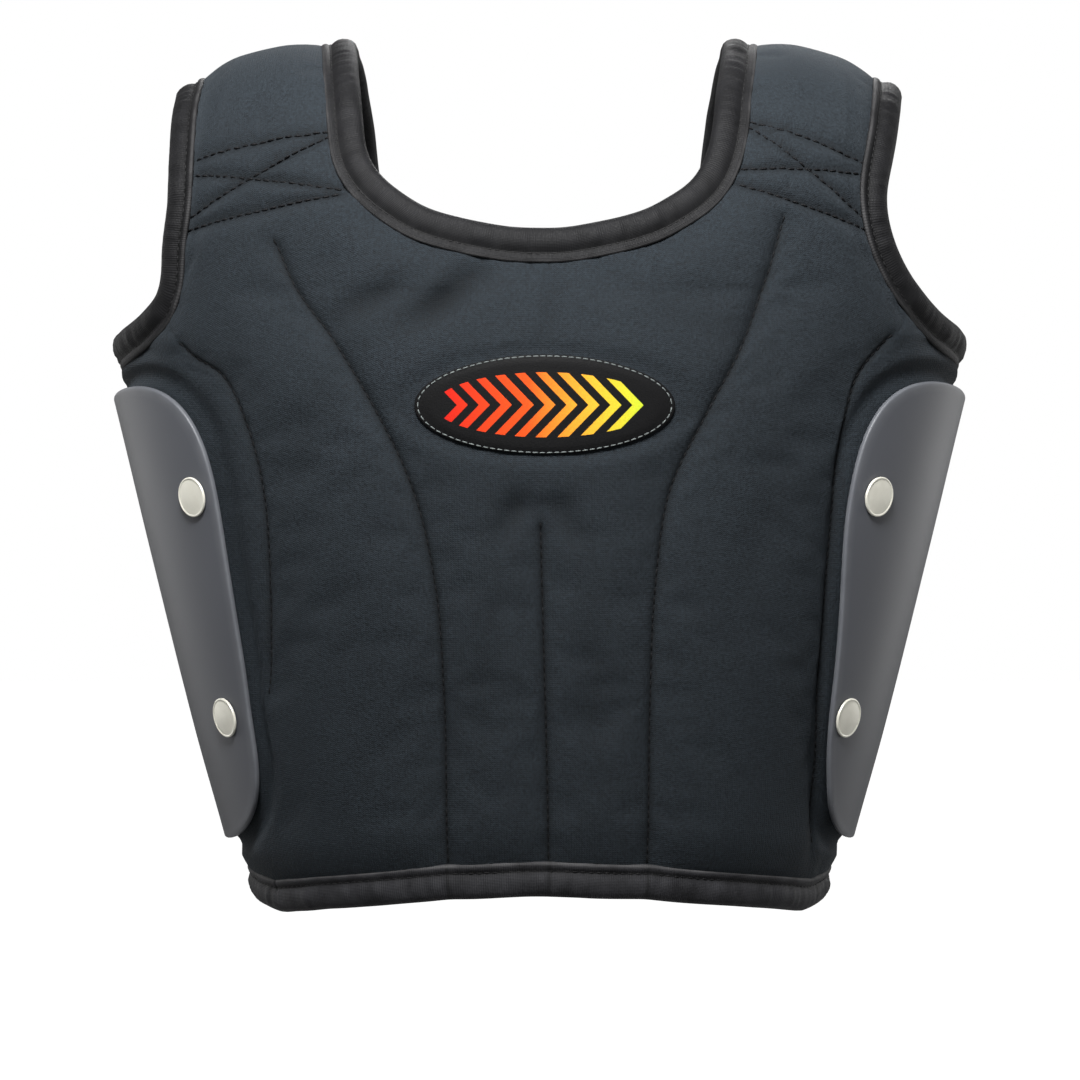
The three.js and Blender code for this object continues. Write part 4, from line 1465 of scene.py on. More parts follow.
def sew_row(data: MeshData, line: Points, normals: Points, stitch: Stitch) -> None:
    """Adds a row of stitches to a mesh: short arched threads whose ends dive into the cloth.

    Args:
        data: The mesh to add to.
        line: Closely spaced points on the cloth, in order.
        normals: The cloth's normals at these points.
        stitch: The stitch that is repeated.
    """
    along = walked(line)
    count = int((along[-1] - stitch.gap) / (stitch.length + stitch.gap))
    if count < 1:
        return
    sides, shares = 6, np.array([0, 0.2, 0.5, 0.8, 1.0])
    starts = stitch.gap + np.arange(count) * (along[-1] - stitch.gap) / count
    places = starts[:, None] + shares * stitch.length
    centres = along_line(line, along, places)
    ups = unit(along_line(normals, along, places))
    crown = stitch.sunk + 0.55 * stitch.thread
    arch = np.sin(shares * math.pi) ** 0.6 * crown - stitch.sunk
    centres = centres + ups * arch[None, :, None]
    forward = unit(centres[:, -1:] - centres[:, :1])
    beside = unit(np.cross(ups, forward))
    radius = stitch.thread * np.array([0.55, 0.9, 1.0, 0.9, 0.55])
    turns = np.arange(sides) * math.pi / 3
    ring = beside[:, :, None] * np.cos(turns)[:, None] + ups[:, :, None] * np.sin(turns)[:, None]
    points = centres[:, :, None] + ring * radius[None, :, None, None]
    faces = []
    for low in range(0, (len(shares) - 1) * sides, sides):
        for j in range(sides):
            k = (j + 1) % sides
            faces.append((low + j, low + k, low + sides + k, low + sides + j))
    end = (len(shares) - 1) * sides
    faces += [(0, 5, 4, 1), (1, 4, 3, 2)]
    faces += [(end + 5, end, end + 1, end + 4), (end + 4, end + 1, end + 2, end + 3)]
    first = len(shares) * sides * np.arange(count)
    every_face = (np.array(faces)[None] + first[:, None, None]).reshape(-1, 4)
    round_thread = np.broadcast_to(turns / (2 * math.pi), points.shape[:-1])
    along_thread = np.broadcast_to(places[:, :, None], points.shape[:-1])
    uvs = np.stack([round_thread, along_thread], axis=-1)
    data.add(points.reshape(-1, 3), every_face, uvs.reshape(-1, 2))


def sewn(data: MeshData, name: str, thread: ThreadFinish) -> Piece:
    """Makes a piece of gathered stitches and dresses it.

    Args:
        data: The stitches.
        name: The piece's name.
        thread: The finish of its thread.

    Returns:
        The piece.
    """
    piece = data.build(name)
    piece.data.materials.append(thread.material())
    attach(piece, ROOT)
    return piece


def select_only(piece: Piece) -> None:
    """Selects one piece and nothing else, and makes it active.

    Args:
        piece: The piece.
    """
    bpy.ops.object.select_all(action="DESELECT")
    bpy.context.view_layer.objects.active = piece
    piece.select_set(True)


def add_modifier(piece: Piece, kind: str, **settings: object) -> None:
    """Adds a modifier and applies it.

    Args:
        piece: The piece to change.
        kind: The modifier's type.
        settings: The modifier's own properties.
    """
    select_only(piece)
    made = piece.modifiers.new(kind.title(), kind)
    for name, value in settings.items():
        setattr(made, name, value)
    bpy.ops.object.modifier_apply(modifier=made.name)


def soften(piece: Piece, width: float, segments: int = 3, angle: float = 50) -> None:
    """Rounds the edges of a piece that are sharper than an angle."""
    limit = math.radians(angle)
    add_modifier(piece, "BEVEL", width=width, segments=segments, limit_method="ANGLE", angle_limit=limit)


def face_out(piece: Piece) -> None:
    """Turns the faces of a closed piece outwards.

    Args:
        piece: The piece to change.
    """
    select_only(piece)
    bpy.ops.object.mode_set(mode="EDIT")
    bpy.ops.mesh.select_all(action="SELECT")
    bpy.ops.mesh.normals_make_consistent(inside=False)
    bpy.ops.object.mode_set(mode="OBJECT")


@dataclass
class Binding:
    """Tape folded over an edge: a roll, a stitched groove and a lip, gathered in small waves all along."""

    name: str
    node: str
    torso: Torso
    edges: Points
    withins: Points
    closed: bool
    seed: float
    ease: int = 3
    # Where seams meet the tape; each gets a band of painted shade across it
    shaded_seam_feet: tuple[float, ...] = ()
    half_edge: float = 2 * MM
    step: float = 1.1 * MM
    groove_at: float = 7.3 * MM
    lip_at: float = 10.5 * MM
    gather: float = 0.42 * MM
    gather_step: float = 3.6 * MM
    fine_step: float = 2.1 * MM
    sway: float = 0.15 * MM
    sway_step: float = 17 * MM
    bulge_at: float = 3 * MM
    bulge_reach: float = 5.5 * MM
    groove_width: float = 0.7 * MM
    lip_width: float = 0.55 * MM
    seam_shade_width: float = 0.75 * MM
    sewing_level: float = 2.52 * MM
    inside_share: float = 0.9
    outline: tuple[tuple[float, float], ...] = (
        (11.2, 2.05),
        (11.1, 2.7),
        (10.5, 3.2),
        (9.6, 3.42),
        (8.8, 3.3),
        (8.0, 2.85),
        (7.3, 2.5),
        (6.6, 2.8),
        (5.4, 3.5),
        (3.8, 4.05),
        (1.8, 4.2),
        (-0.2, 3.95),
        (-1.8, 3.25),
        (-3.0, 1.9),
        (-3.5, 0.0),
    )

    def frame_along(self) -> tuple[Points, Points, Points, Points]:
        """Evenly spaced middles of the edge, with inward and outward directions and lengths.

        Returns:
            The middles, the ways into the panel and out of it, and how far along each lies.
        """
        ups = self.torso.normals(self.edges)
        middle = self.edges + ups * self.half_edge
        ahead = np.roll(middle, -1, axis=0) - np.roll(middle, 1, axis=0)
        if not self.closed:
            ahead[0], ahead[-1] = middle[1] - middle[0], middle[-1] - middle[-2]
        square = unit(np.cross(ups, unit(ahead)))
        inward = square * np.sign((square * (self.withins - self.edges)).sum(axis=1, keepdims=True))
        along = walked(middle)
        count = max(8, round(along[-1] / self.step))
        places = np.linspace(0, along[-1], count, endpoint=not self.closed)
        centre = self.eased(along_line(middle, along, places), self.ease)
        up = unit(along_line(ups, along, places))
        into = self.eased(unit(along_line(inward, along, places)), max(14, self.ease))
        into = unit(into - up * (into * up).sum(axis=1, keepdims=True))
        return centre, into, up, places

    def eased(self, values: Points, rounds: int = 10) -> Points:
        """Rounds off sharp turns from point to point, the ends kept.

        Args:
            values: Points or directions along the tape.
            rounds: How often they are eased.

        Returns:
            The eased values.
        """
        for _ in range(rounds):
            before, after = np.roll(values, 1, axis=0), np.roll(values, -1, axis=0)
            mixed = 0.5 * values + 0.25 * (before + after)
            if not self.closed:
                mixed[0], mixed[-1] = values[0], values[-1]
            values = mixed
        return values

    def profile(self) -> tuple[Points, int]:
        """The tape's section, from the lip outside round the edge to the lip inside and back.

        Returns:
            The section's points, and how many of them are its outer skin.
        """
        outside = np.array(self.outline)
        inside = outside[-2::-1] * np.array([1, -self.inside_share])
        hollow = np.array([(10.9, -2.02 * self.inside_share), (-0.4, -2.02), (-0.4, 2.02), (10.9, 2.02)])
        return np.vstack([outside, inside, hollow]) * MM, len(outside) + len(inside)

    def build(self, finish: TapeFinish, thread: ThreadFinish) -> tuple[Piece, Piece]:
        """Makes the tape and its two rows of stitches, and dresses them.

        Args:
            finish: The tape's finish.
            thread: The thread's finish.

        Returns:
            The tape and its stitches.
        """
        centre, into, up, places = self.frame_along()
        section, skin = self.profile()
        rings, sides = len(centre), len(section)
        along, out = section.T
        wave = wavering(places / self.gather_step, self.seed)
        slow = self.sway * wavering(places / self.sway_step, self.seed + 9)[:, None]
        fine = wavering(places / self.fine_step, self.seed + 4)
        bulge = np.clip(1 - np.abs(along - self.bulge_at) / self.bulge_reach, 0, 1)
        bulge[skin:] = 0
        lift = self.gather * (wave + 0.5 * fine)[:, None] * bulge + slow * (bulge > 0)
        x = along + slow * (np.arange(sides) < skin)
        y = out + np.sign(out) * lift
        points = centre[:, None] + into[:, None] * x[..., None] + up[:, None] * y[..., None]
        points = self.torso.framed(points)
        uvs = np.stack(np.broadcast_arrays(walked(section)[None, :], places[:, None]), axis=-1)
        faces = []
        for i in range(rings if self.closed else rings - 1):
            a, b = i * sides, ((i + 1) % rings) * sides
            faces += [(a + j, b + j, b + (j + 1) % sides, a + (j + 1) % sides) for j in range(sides)]
        data = MeshData()
        data.add(points.reshape(-1, 3), np.array(faces), uvs.reshape(-1, 2))
        piece = data.build(self.name)
        # Painted shade: dark along the stitched groove and across the tape where seams meet it.
        groove = np.exp(-(((along - self.groove_at) / self.groove_width) ** 2))
        groove[skin:] = 1
        painted_tape_shade = np.tile(groove, (rings, 1))
        for mark in self.shaded_seam_feet:
            across = np.exp(-(((centre[:, 0] - mark) / self.seam_shade_width) ** 2))
            painted_tape_shade = np.maximum(painted_tape_shade, across[:, None])
        give_attribute(piece, "crease", painted_tape_shade)
        # Painted highlight along the top of the outer lip.
        lip = np.exp(-(((along - self.lip_at) / self.lip_width) ** 2)) * (out > 0)
        lip[skin:] = 0
        give_attribute(piece, "lip", np.broadcast_to(lip, (rings, sides)))
        if not self.closed:
            self.close_ends(piece)
        face_out(piece)
        piece.data.materials.append(finish.material())
        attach(piece, ROOT)
        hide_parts(self.node)
        return piece, self.sewing(centre, into, up, thread)

    def sewing(self, centre: Points, into: Points, up: Points, thread: ThreadFinish) -> Piece:
        """Makes the two rows of stitches in the tape's grooves.

        Args:
            centre: The middles of the edge.
            into: The directions into the panel.
            up: The directions out of it.
            thread: The thread's finish.

        Returns:
            The stitches.
        """
        rows = MeshData()
        for sign, share in ((1, 1), (-1, self.inside_share)):
            level = sign * share * self.sewing_level
            line = self.torso.framed(centre + into * self.groove_at + up * level)
            if self.closed:
                line = np.vstack([line, line[:1]])
            ups = np.vstack([up, up[:1]]) if self.closed else up
            sew_row(rows, line, sign * ups, TAPE_STITCH)
        return sewn(rows, f"{self.name}_stitches", thread)

    @staticmethod
    def close_ends(piece: Piece) -> None:
        """Fills the tape's two cut ends.

        Args:
            piece: The tape.
        """
        select_only(piece)
        bpy.ops.object.mode_set(mode="EDIT")
        bpy.ops.mesh.select_all(action="DESELECT")
        bpy.ops.mesh.select_non_manifold()
        bpy.ops.mesh.fill()
        bpy.ops.object.mode_set(mode="OBJECT")


@dataclass
class Bindings:
    """The five tapes of the vest, from the rims of its two panels."""

    front: Panel
    back: Panel
    reach: float = 8 * MM
    start: float = 13 * MM
    inset: int = 6
    neck_ease: int = 60

    def pairs(self, panel: Panel, edge: Points, beside: Points) -> tuple[Points, Points]:
        """Edge points with points a little inside the panel next to them."""
        inner = edge + unit(beside - edge) * self.reach
        return edge, panel.torso.onto(inner)

    def side_chain(self, panel: Panel, column: int, beside: int) -> tuple[Points, Points]:
        """The pairs up one outer edge of a panel, from above the hem tape.

        Args:
            panel: The panel.
            column: The grid column at the edge.
            beside: One a little inside.

        Returns:
            The pairs.
        """
        edge, inner = panel.lining[:, column], panel.lining[:, beside]
        keep = np.linalg.norm(edge - edge[0], axis=1) > self.start
        return self.pairs(panel, edge[keep], inner[keep])

    def hem_chain(self, panel: Panel) -> tuple[Points, Points]:
        """The pairs along a panel's lower edge."""
        return self.pairs(panel, panel.lining[0], panel.lining[self.inset])

    def neck_chain(self, panel: Panel) -> tuple[Points, Points]:
        """The pairs down one side of a panel's neckline and up the other.

        Args:
            panel: The panel.

        Returns:
            The pairs.
        """
        g = panel.lining
        rims = np.flatnonzero(np.isclose(np.abs(panel.across), 1))
        high = np.flatnonzero(panel.rows > panel.neckline_row + 1e-9)
        level = int(np.flatnonzero(np.isclose(panel.rows, panel.neckline_row))[0])
        low = np.arange(rims[0], rims[1] + 1)
        edge = np.vstack([g[high[::-1], rims[0]], g[level, low], g[high, rims[1]]])
        outer = (rims[0] - self.inset, rims[1] + self.inset)
        beside = np.vstack([g[high[::-1], outer[0]], g[level - 5, low], g[high, outer[1]]])
        corner = [len(high), len(high) + len(low) - 1]
        for at, rim, out in zip(corner, rims, outer):
            beside[at] = 0.5 * (g[level, out] + g[level - 5, rim])
        return self.pairs(panel, edge, beside)

    def build(self, finish: TapeFinish, hem_finish: TapeFinish, thread: ThreadFinish) -> list[Piece]:
        """Makes all the tapes, the two at the hem in their own finish.

        Args:
            finish: The neck and armhole tapes' finish.
            hem_finish: The hem tapes' finish.
            thread: The thread's finish.

        Returns:
            The tapes and their stitches.
        """
        torso = self.front.torso
        front, back = self.neck_chain(self.front), self.neck_chain(self.back)
        neck = [np.vstack([f, b[::-1][1:-1]]) for f, b in zip(front, back)]
        tapes = [Binding("neck_binding", "neck_tape", torso, *neck, True, 3.0, self.neck_ease)]
        last = self.front.lining.shape[1] - 1
        for name, column, beside in (("left", 0, self.inset), ("right", last, last - self.inset)):
            up = self.side_chain(self.front, column, beside)
            down = self.side_chain(self.back, column, beside)
            chain = [np.vstack([f, b[::-1][1:]]) for f, b in zip(up, down)]
            tape_name, node = f"armhole_binding_{name}", f"armhole_tape_{name}"
            tapes.append(Binding(tape_name, node, torso, *chain, False, 11.0 + column))
        pieces = [piece for tape in tapes for piece in tape.build(finish, thread)]
        for name, panel, seed in (("front", self.front, 21.0), ("back", self.back, 27.0)):
            chain = self.hem_chain(panel)
            # The seams that reach the hem, whose places get painted shade across the hem tape.
            feet = [seam.points[0] for seam in panel.seams]
            shaded_seam_feet = tuple(float(foot[0]) for foot in feet if foot[2] < self.start)
            tape = Binding(
                f"hem_binding_{name}", f"hem_tape_{name}", torso, *chain, False, seed, shaded_seam_feet=shaded_seam_feet
            )
            pieces += tape.build(hem_finish, thread)
        return pieces


@dataclass
class SeamStitching:
    """The stitches of a panel's seams and of the quilting on its straps."""

    panel: Panel
    name: str

    def build(self, thread: ThreadFinish) -> Piece:
        """Makes all the stitches as one piece.

        Args:
            thread: The thread's finish.

        Returns:
            The piece.
        """
        data = MeshData()
        for seam in self.panel.seams:
            keep = seam.strength > 0.25
            line, normals = self.panel.on_cover(spaced(seam.points[keep], 1 * MM))
            sew_row(data, line, normals, seam.stitch)
        return sewn(data, self.name, thread)


class Placed(NamedTuple):
    """A point of the torso with the distance at which a piece stands off it."""

    point: Points
    lift: Points


def laid_sheet(
    name: str,
    cells: tuple[int, int],
    place: Callable[[Points, Points], Placed],
    torso: Torso,
) -> Piece:
    """Adds a flat grid and lays it over the torso.

    Args:
        name: The piece's name.
        cells: How many cells it has across and up.
        place: Gives the place of grid coordinates from -1 to 1.
        torso: The form that it is laid on.

    Returns:
        The open sheet, facing out, with its grid coordinates as its UV map.
    """
    bpy.ops.object.select_all(action="DESELECT")
    bpy.ops.mesh.primitive_grid_add(x_subdivisions=cells[0], y_subdivisions=cells[1], size=2)
    piece = bpy.context.object
    piece.name = name
    piece.data.name = name
    count = len(piece.data.vertices)
    flat = np.zeros(count * 3, np.float32)
    piece.data.vertices.foreach_get("co", flat)
    u, v = flat.reshape(-1, 3)[:, :2].astype(float).T
    point, lift = place(u, v)
    laid = torso.framed(point + torso.normals(point) * lift[:, None])
    piece.data.vertices.foreach_set("co", laid.astype(np.float32).ravel())
    piece.data.polygons.foreach_set("use_smooth", np.ones(len(piece.data.polygons), bool))
    corners = np.zeros(len(piece.data.loops), np.int32)
    piece.data.loops.foreach_get("vertex_index", corners)
    while piece.data.uv_layers:
        piece.data.uv_layers.remove(piece.data.uv_layers[0])
    layer = piece.data.uv_layers.new(name="cloth")
    layer.data.foreach_set("uv", np.stack([u, v], axis=1)[corners].astype(np.float32).ravel())
    piece.data.update()
    return piece


def rounded(u: Points, v: Points, squareness: float) -> tuple[Points, Points]:
    """Pulls square grid points inside a rounded outline: 2 gives an ellipse, more an oblong.

    Args:
        u: Places across the grid.
        v: Places up it.
        squareness: How boxy the outline is.

    Returns:
        The moved places.
    """
    reach = np.maximum(np.abs(u), np.abs(v))
    norm = (np.abs(u) ** squareness + np.abs(v) ** squareness) ** (1 / squareness)
    share = np.where(norm > 0, reach / np.maximum(norm, 1e-9), 0)
    return u * share, v * share


class PlateTrim(NamedTuple):
    """How one plate's front edge is cut: its corner raised, its edge set back by degrees, and from where."""

    raised: float
    upper: float
    lower: float
    start: float


PLATE_TRIMS = {
    Side.LEFT: PlateTrim(raised=2 * MM, upper=2.6, lower=2.2, start=0.05),
    Side.RIGHT: PlateTrim(raised=5 * MM, upper=0.2, lower=2.6, start=-0.1),
}


@dataclass
class FlankPlate:
    """A curved satin plate over one flank, with rounded rims."""

    side: Side
    torso: Torso
    pad: float = 8 * MM
    gap: float = 1 * MM
    rear_gap: float = 2.8 * MM
    thickness: float = 2.5 * MM
    low: float = 27.5 * MM
    high: float = 221 * MM
    fall: float = 20 * MM
    sink: float = 2.2 * MM
    half_turn: float = 34.5
    squareness: float = 4
    rear_from: float = 92
    rear_to: float = 108
    cells: tuple[int, int] = (84, 96)
    foot_share: float = 0.25
    climb_from: float = 0.3
    climb_share: float = 0.4
    grip_from: float = 0.97
    grip_fade: float = 0.13
    rounding: float = 0.85 * MM

    def __post_init__(self) -> None:
        """Raises the upper front corner, with the flank's own height kept."""
        self.trim = PLATE_TRIMS[self.side]
        self.high += self.trim.raised
        self.fall += 2 * self.trim.raised

    def front_trim(self, z: Points) -> Points:
        """How many degrees the front edge stands back from the plate's full turn at a height.

        Args:
            z: Heights above the hem line.

        Returns:
            The degrees at each height.
        """
        share = np.clip((z - self.low) / (self.high - self.low), 0, 1)
        foot = smooth((share - self.trim.start) / self.foot_share)
        climb = smooth((share - self.climb_from) / self.climb_share)
        return foot * (self.trim.lower + (self.trim.upper - self.trim.lower) * climb)

    def lift(self, turn: Points) -> Points:
        """How far the plate's inner face stands off the lining at a turn from the front."""
        rear = smooth((turn - self.rear_from) / (self.rear_to - self.rear_from))
        return self.pad + self.gap + (self.rear_gap - self.gap) * rear

    def place(self, u: Points, v: Points) -> Placed:
        """Where a point of the flat plate lies round the flank.

        Args:
            u: Places across the plate.
            v: Places up it.

        Returns:
            The point and the plate's lift there.
        """
        across, up = rounded(u, v, self.squareness)
        middle = (self.low + self.high) / 2
        top = self.high - self.fall * (across + 1) / 2
        z = middle + np.where(up > 0, up * (top - middle), up * (middle - self.low))
        turn = 90 + across * self.half_turn + smooth(-across) * self.front_trim(z)
        point = self.torso.around(turn, z, Facing.FRONT)
        point[:, 0] *= self.side.value
        return Placed(point, self.lift(turn))

    def covers(self, points: Points) -> Points:
        """From 0 to 1, how firmly the plate lies on points of the lining.

        Args:
            points: Points of the lining.

        Returns:
            The share at each point.
        """
        turn = np.degrees(np.arctan2(np.abs(points[..., 0]), -points[..., 1]))
        across = (turn - 90) / self.half_turn
        across -= smooth(-across) * self.front_trim(points[..., 2]) / self.half_turn
        middle = (self.low + self.high) / 2
        top = self.high - self.fall * (across + 1) / 2
        above = points[..., 2] - middle
        up = np.where(above > 0, above / (top - middle), above / (middle - self.low))
        reach = (np.abs(across) ** self.squareness + np.abs(up) ** self.squareness) ** (1 / self.squareness)
        held = 1 - smooth((reach - self.grip_from) / self.grip_fade)
        return held * (points[..., 0] * self.side.value > 0)

    def build(self, finish: PlasticFinish) -> Piece:
        """Makes the plate and dresses it.

        Args:
            finish: The plate's finish.

        Returns:
            The plate.
        """
        name = self.side.name.lower()
        piece = laid_sheet(f"flank_shell_{name}", self.cells, self.place, self.torso)
        u, v = self.grid_places(piece)
        # The rim share, where the plate is painted paler: partly scuffing and partly a painted highlight.
        give_attribute(piece, "rim", smooth((np.maximum(np.abs(u), np.abs(v)) - 0.955) / 0.045))
        if self.side is Side.LEFT:
            piece.data.flip_normals()
        add_modifier(piece, "SOLIDIFY", thickness=self.thickness, offset=1)
        soften(piece, self.rounding)
        face_out(piece)
        piece.data.polygons.foreach_set("use_smooth", np.ones(len(piece.data.polygons), bool))
        piece.data.materials.append(finish.material())
        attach(piece, ROOT)
        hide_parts(f"flank_plate_{name}")
        return piece

    @staticmethod
    def grid_places(piece: Piece) -> tuple[Points, Points]:
        """The grid coordinates of each point, from the UV map.

        Args:
            piece: The sheet.

        Returns:
            The places across and up.
        """
        corners = np.zeros(len(piece.data.loops), np.int32)
        piece.data.loops.foreach_get("vertex_index", corners)
        uv = np.zeros(len(piece.data.loops) * 2, np.float32)
        piece.data.uv_layers["cloth"].data.foreach_get("uv", uv)
        places = np.zeros((len(piece.data.vertices), 2))
        places[corners] = uv.reshape(-1, 2)
        return places[:, 0], places[:, 1]


@dataclass
class Rivet:
    """A press rivet: a domed cap with a rolled rim on a shank, and a washer inside the vest."""

    plate: FlankPlate
    position: str
    turn: float
    height: float
    cap_radius: float = 8.2 * MM
    cap_height: float = 1.8 * MM
    shank_radius: float = 2.5 * MM
    washer_radius: float = 6.5 * MM
    washer_thickness: float = 1.4 * MM
    washer_clearance: float = 2.1 * MM
    clearance: float = 0.3 * MM
    wall_share: float = 0.66
    cap_rounding: float = 0.42 * MM
    washer_rounding: float = 0.45 * MM

    def turned_disc(self, radius: float, low: float, high: float, sides: int = 56) -> Piece:
        """Adds a cylinder about the Z axis between two heights.

        Args:
            radius: Its radius.
            low: The height of its foot.
            high: The height of its top.
            sides: How many sides it has.

        Returns:
            The cylinder.
        """
        bpy.ops.object.select_all(action="DESELECT")
        bpy.ops.mesh.primitive_cylinder_add(
            vertices=sides,
            radius=radius,
            depth=high - low,
            location=(0, 0, (low + high) / 2),
        )
        piece = bpy.context.object
        bpy.ops.object.transform_apply(location=True, rotation=False, scale=False)
        return piece

    @staticmethod
    def dome(piece: Piece) -> None:
        """Insets the top face into a rim and swells it into a shallow dome.

        Args:
            piece: The cap's cylinder.
        """
        bpy.ops.object.mode_set(mode="EDIT")
        bpy.ops.mesh.select_all(action="DESELECT")
        bpy.ops.object.mode_set(mode="OBJECT")
        for face in piece.data.polygons:
            face.select = face.normal.z > 0.9
        bpy.ops.object.mode_set(mode="EDIT")
        bpy.ops.mesh.inset(thickness=0.7 * MM, depth=0)
        bpy.ops.mesh.inset(thickness=0.25 * MM, depth=-0.2 * MM)
        for inset, rise in ((1.5, 0.16), (1.7, 0.14), (1.7, 0.1), (1.4, 0.05)):
            bpy.ops.mesh.inset(thickness=inset * MM, depth=rise * MM)
        bpy.ops.object.mode_set(mode="OBJECT")

    def build(self, finish: NickelFinish) -> Piece:
        """Makes the rivet in its place and dresses it.

        Args:
            finish: The rivet's finish.

        Returns:
            The rivet.
        """
        grip = float(self.plate.lift(np.array([self.turn]))[0]) + self.plate.thickness
        under = self.clearance
        cap = self.turned_disc(self.cap_radius, under, under + self.wall_share * self.cap_height)
        self.dome(cap)
        soften(cap, self.cap_rounding, angle=60)
        depth = grip + self.washer_clearance
        shank = self.turned_disc(self.shank_radius, -depth - 0.5 * MM, under + 0.4 * MM, 24)
        washer = self.turned_disc(self.washer_radius, -depth - self.washer_thickness, -depth, 48)
        soften(washer, self.washer_rounding, angle=60)
        bpy.ops.object.select_all(action="DESELECT")
        for part in (washer, shank, cap):
            part.select_set(True)
        bpy.context.view_layer.objects.active = cap
        bpy.ops.object.join()
        side = self.plate.side.name.lower()
        cap.name = cap.data.name = f"press_rivet_{side}_{self.position}"
        torso = self.plate.torso
        foot = torso.around(np.array([self.turn]), np.array([self.height * torso.height]), Facing.FRONT)
        foot[:, 0] *= self.plate.side.value
        out = torso.normals(foot)
        seat = torso.framed(foot + out * grip)[0]
        turned = Vector((0, 0, 1)).rotation_difference(Vector(out[0]))
        cap.data.transform(Matrix.Translation(Vector(seat)) @ turned.to_matrix().to_4x4())
        bpy.ops.object.shade_smooth_by_angle(angle=math.radians(40))
        cap.data.materials.append(finish.material())
        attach(cap, ROOT)
        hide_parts(f"rivet_{side}_{self.position}")
        return cap


@dataclass
class ChestPatch:
    """The oval patch: a thin crowned face with a stitched rim, whose pale thread is a painted highlight of
    its edge.
    """

    panel: Panel
    half_length: float = 50.3 * MM
    half_height: float = 19.2 * MM
    height: float = 0.562
    shift: float = 2 * MM
    sewn_at: float = 0.972
    grip_from: float = 0.94
    grip_fade: float = 0.3
    rounding: float = 0.4 * MM
    sink: float = 0.9 * MM
    thickness: float = 1.2 * MM
    clearance: float = 0.3 * MM

    def place(self, u: Points, v: Points) -> Placed:
        """Where a point of the flat patch lies on the chest.

        Args:
            u: Places across the patch.
            v: Places up it.

        Returns:
            The point and the patch's lift there.
        """
        torso = self.panel.torso
        across, up = rounded(u, v, 2)
        x = self.shift + across * self.half_length
        z = self.height * torso.height + up * self.half_height
        point = torso.ahead(x, z, Facing.FRONT)
        edge = smooth((np.hypot(across, up) - 0.86) / 0.14)
        lift = self.panel.pad + self.clearance - 0.5 * MM * edge
        return Placed(point, lift)

    def covers(self, points: Points) -> Points:
        """From 0 to 1, how firmly the patch lies on points of the lining.

        Args:
            points: Points of the lining.

        Returns:
            The share at each point.
        """
        across = (points[..., 0] - self.shift) / self.half_length
        up = (points[..., 2] - self.height * self.panel.torso.height) / self.half_height
        reach = np.hypot(across, up)
        return (1 - smooth((reach - self.grip_from) / self.grip_fade)) * (points[..., 1] < 0)

    def build(self, face: PatchFinish, thread: ThreadFinish) -> list[Piece]:
        """Makes the patch and its rim, and dresses them.

        Args:
            face: The patch's finish.
            thread: The rim's thread.

        Returns:
            The patch and its rim.
        """
        torso = self.panel.torso
        piece = laid_sheet("oval_patch", (72, 40), self.place, torso)
        uv = piece.data.uv_layers["cloth"].data
        for item in uv:
            across, up = rounded(np.array(item.uv[0]), np.array(item.uv[1]), 2)
            item.uv = (float(across), float(up))
        add_modifier(piece, "SOLIDIFY", thickness=self.thickness, offset=1)
        soften(piece, self.rounding)
        face_out(piece)
        piece.data.polygons.foreach_set("use_smooth", np.ones(len(piece.data.polygons), bool))
        piece.data.materials.append(face.material())
        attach(piece, ROOT)
        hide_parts("chest_patch")
        turns = np.linspace(0, 2 * math.pi, 400)
        lift = self.place(np.array([0.0]), np.array([0.0])).lift
        x = self.shift + self.sewn_at * self.half_length * np.cos(turns)
        z = self.height * torso.height + self.sewn_at * self.half_height * np.sin(turns)
        point = torso.ahead(x, z, Facing.FRONT)
        normals = torso.normals(point)
        line = torso.framed(point + normals * (lift[0] - 0.42 * MM + self.thickness))
        rim = MeshData()
        sew_row(rim, line, normals, PATCH_STITCH)
        return [piece, sewn(rim, "oval_patch_rim", thread)]


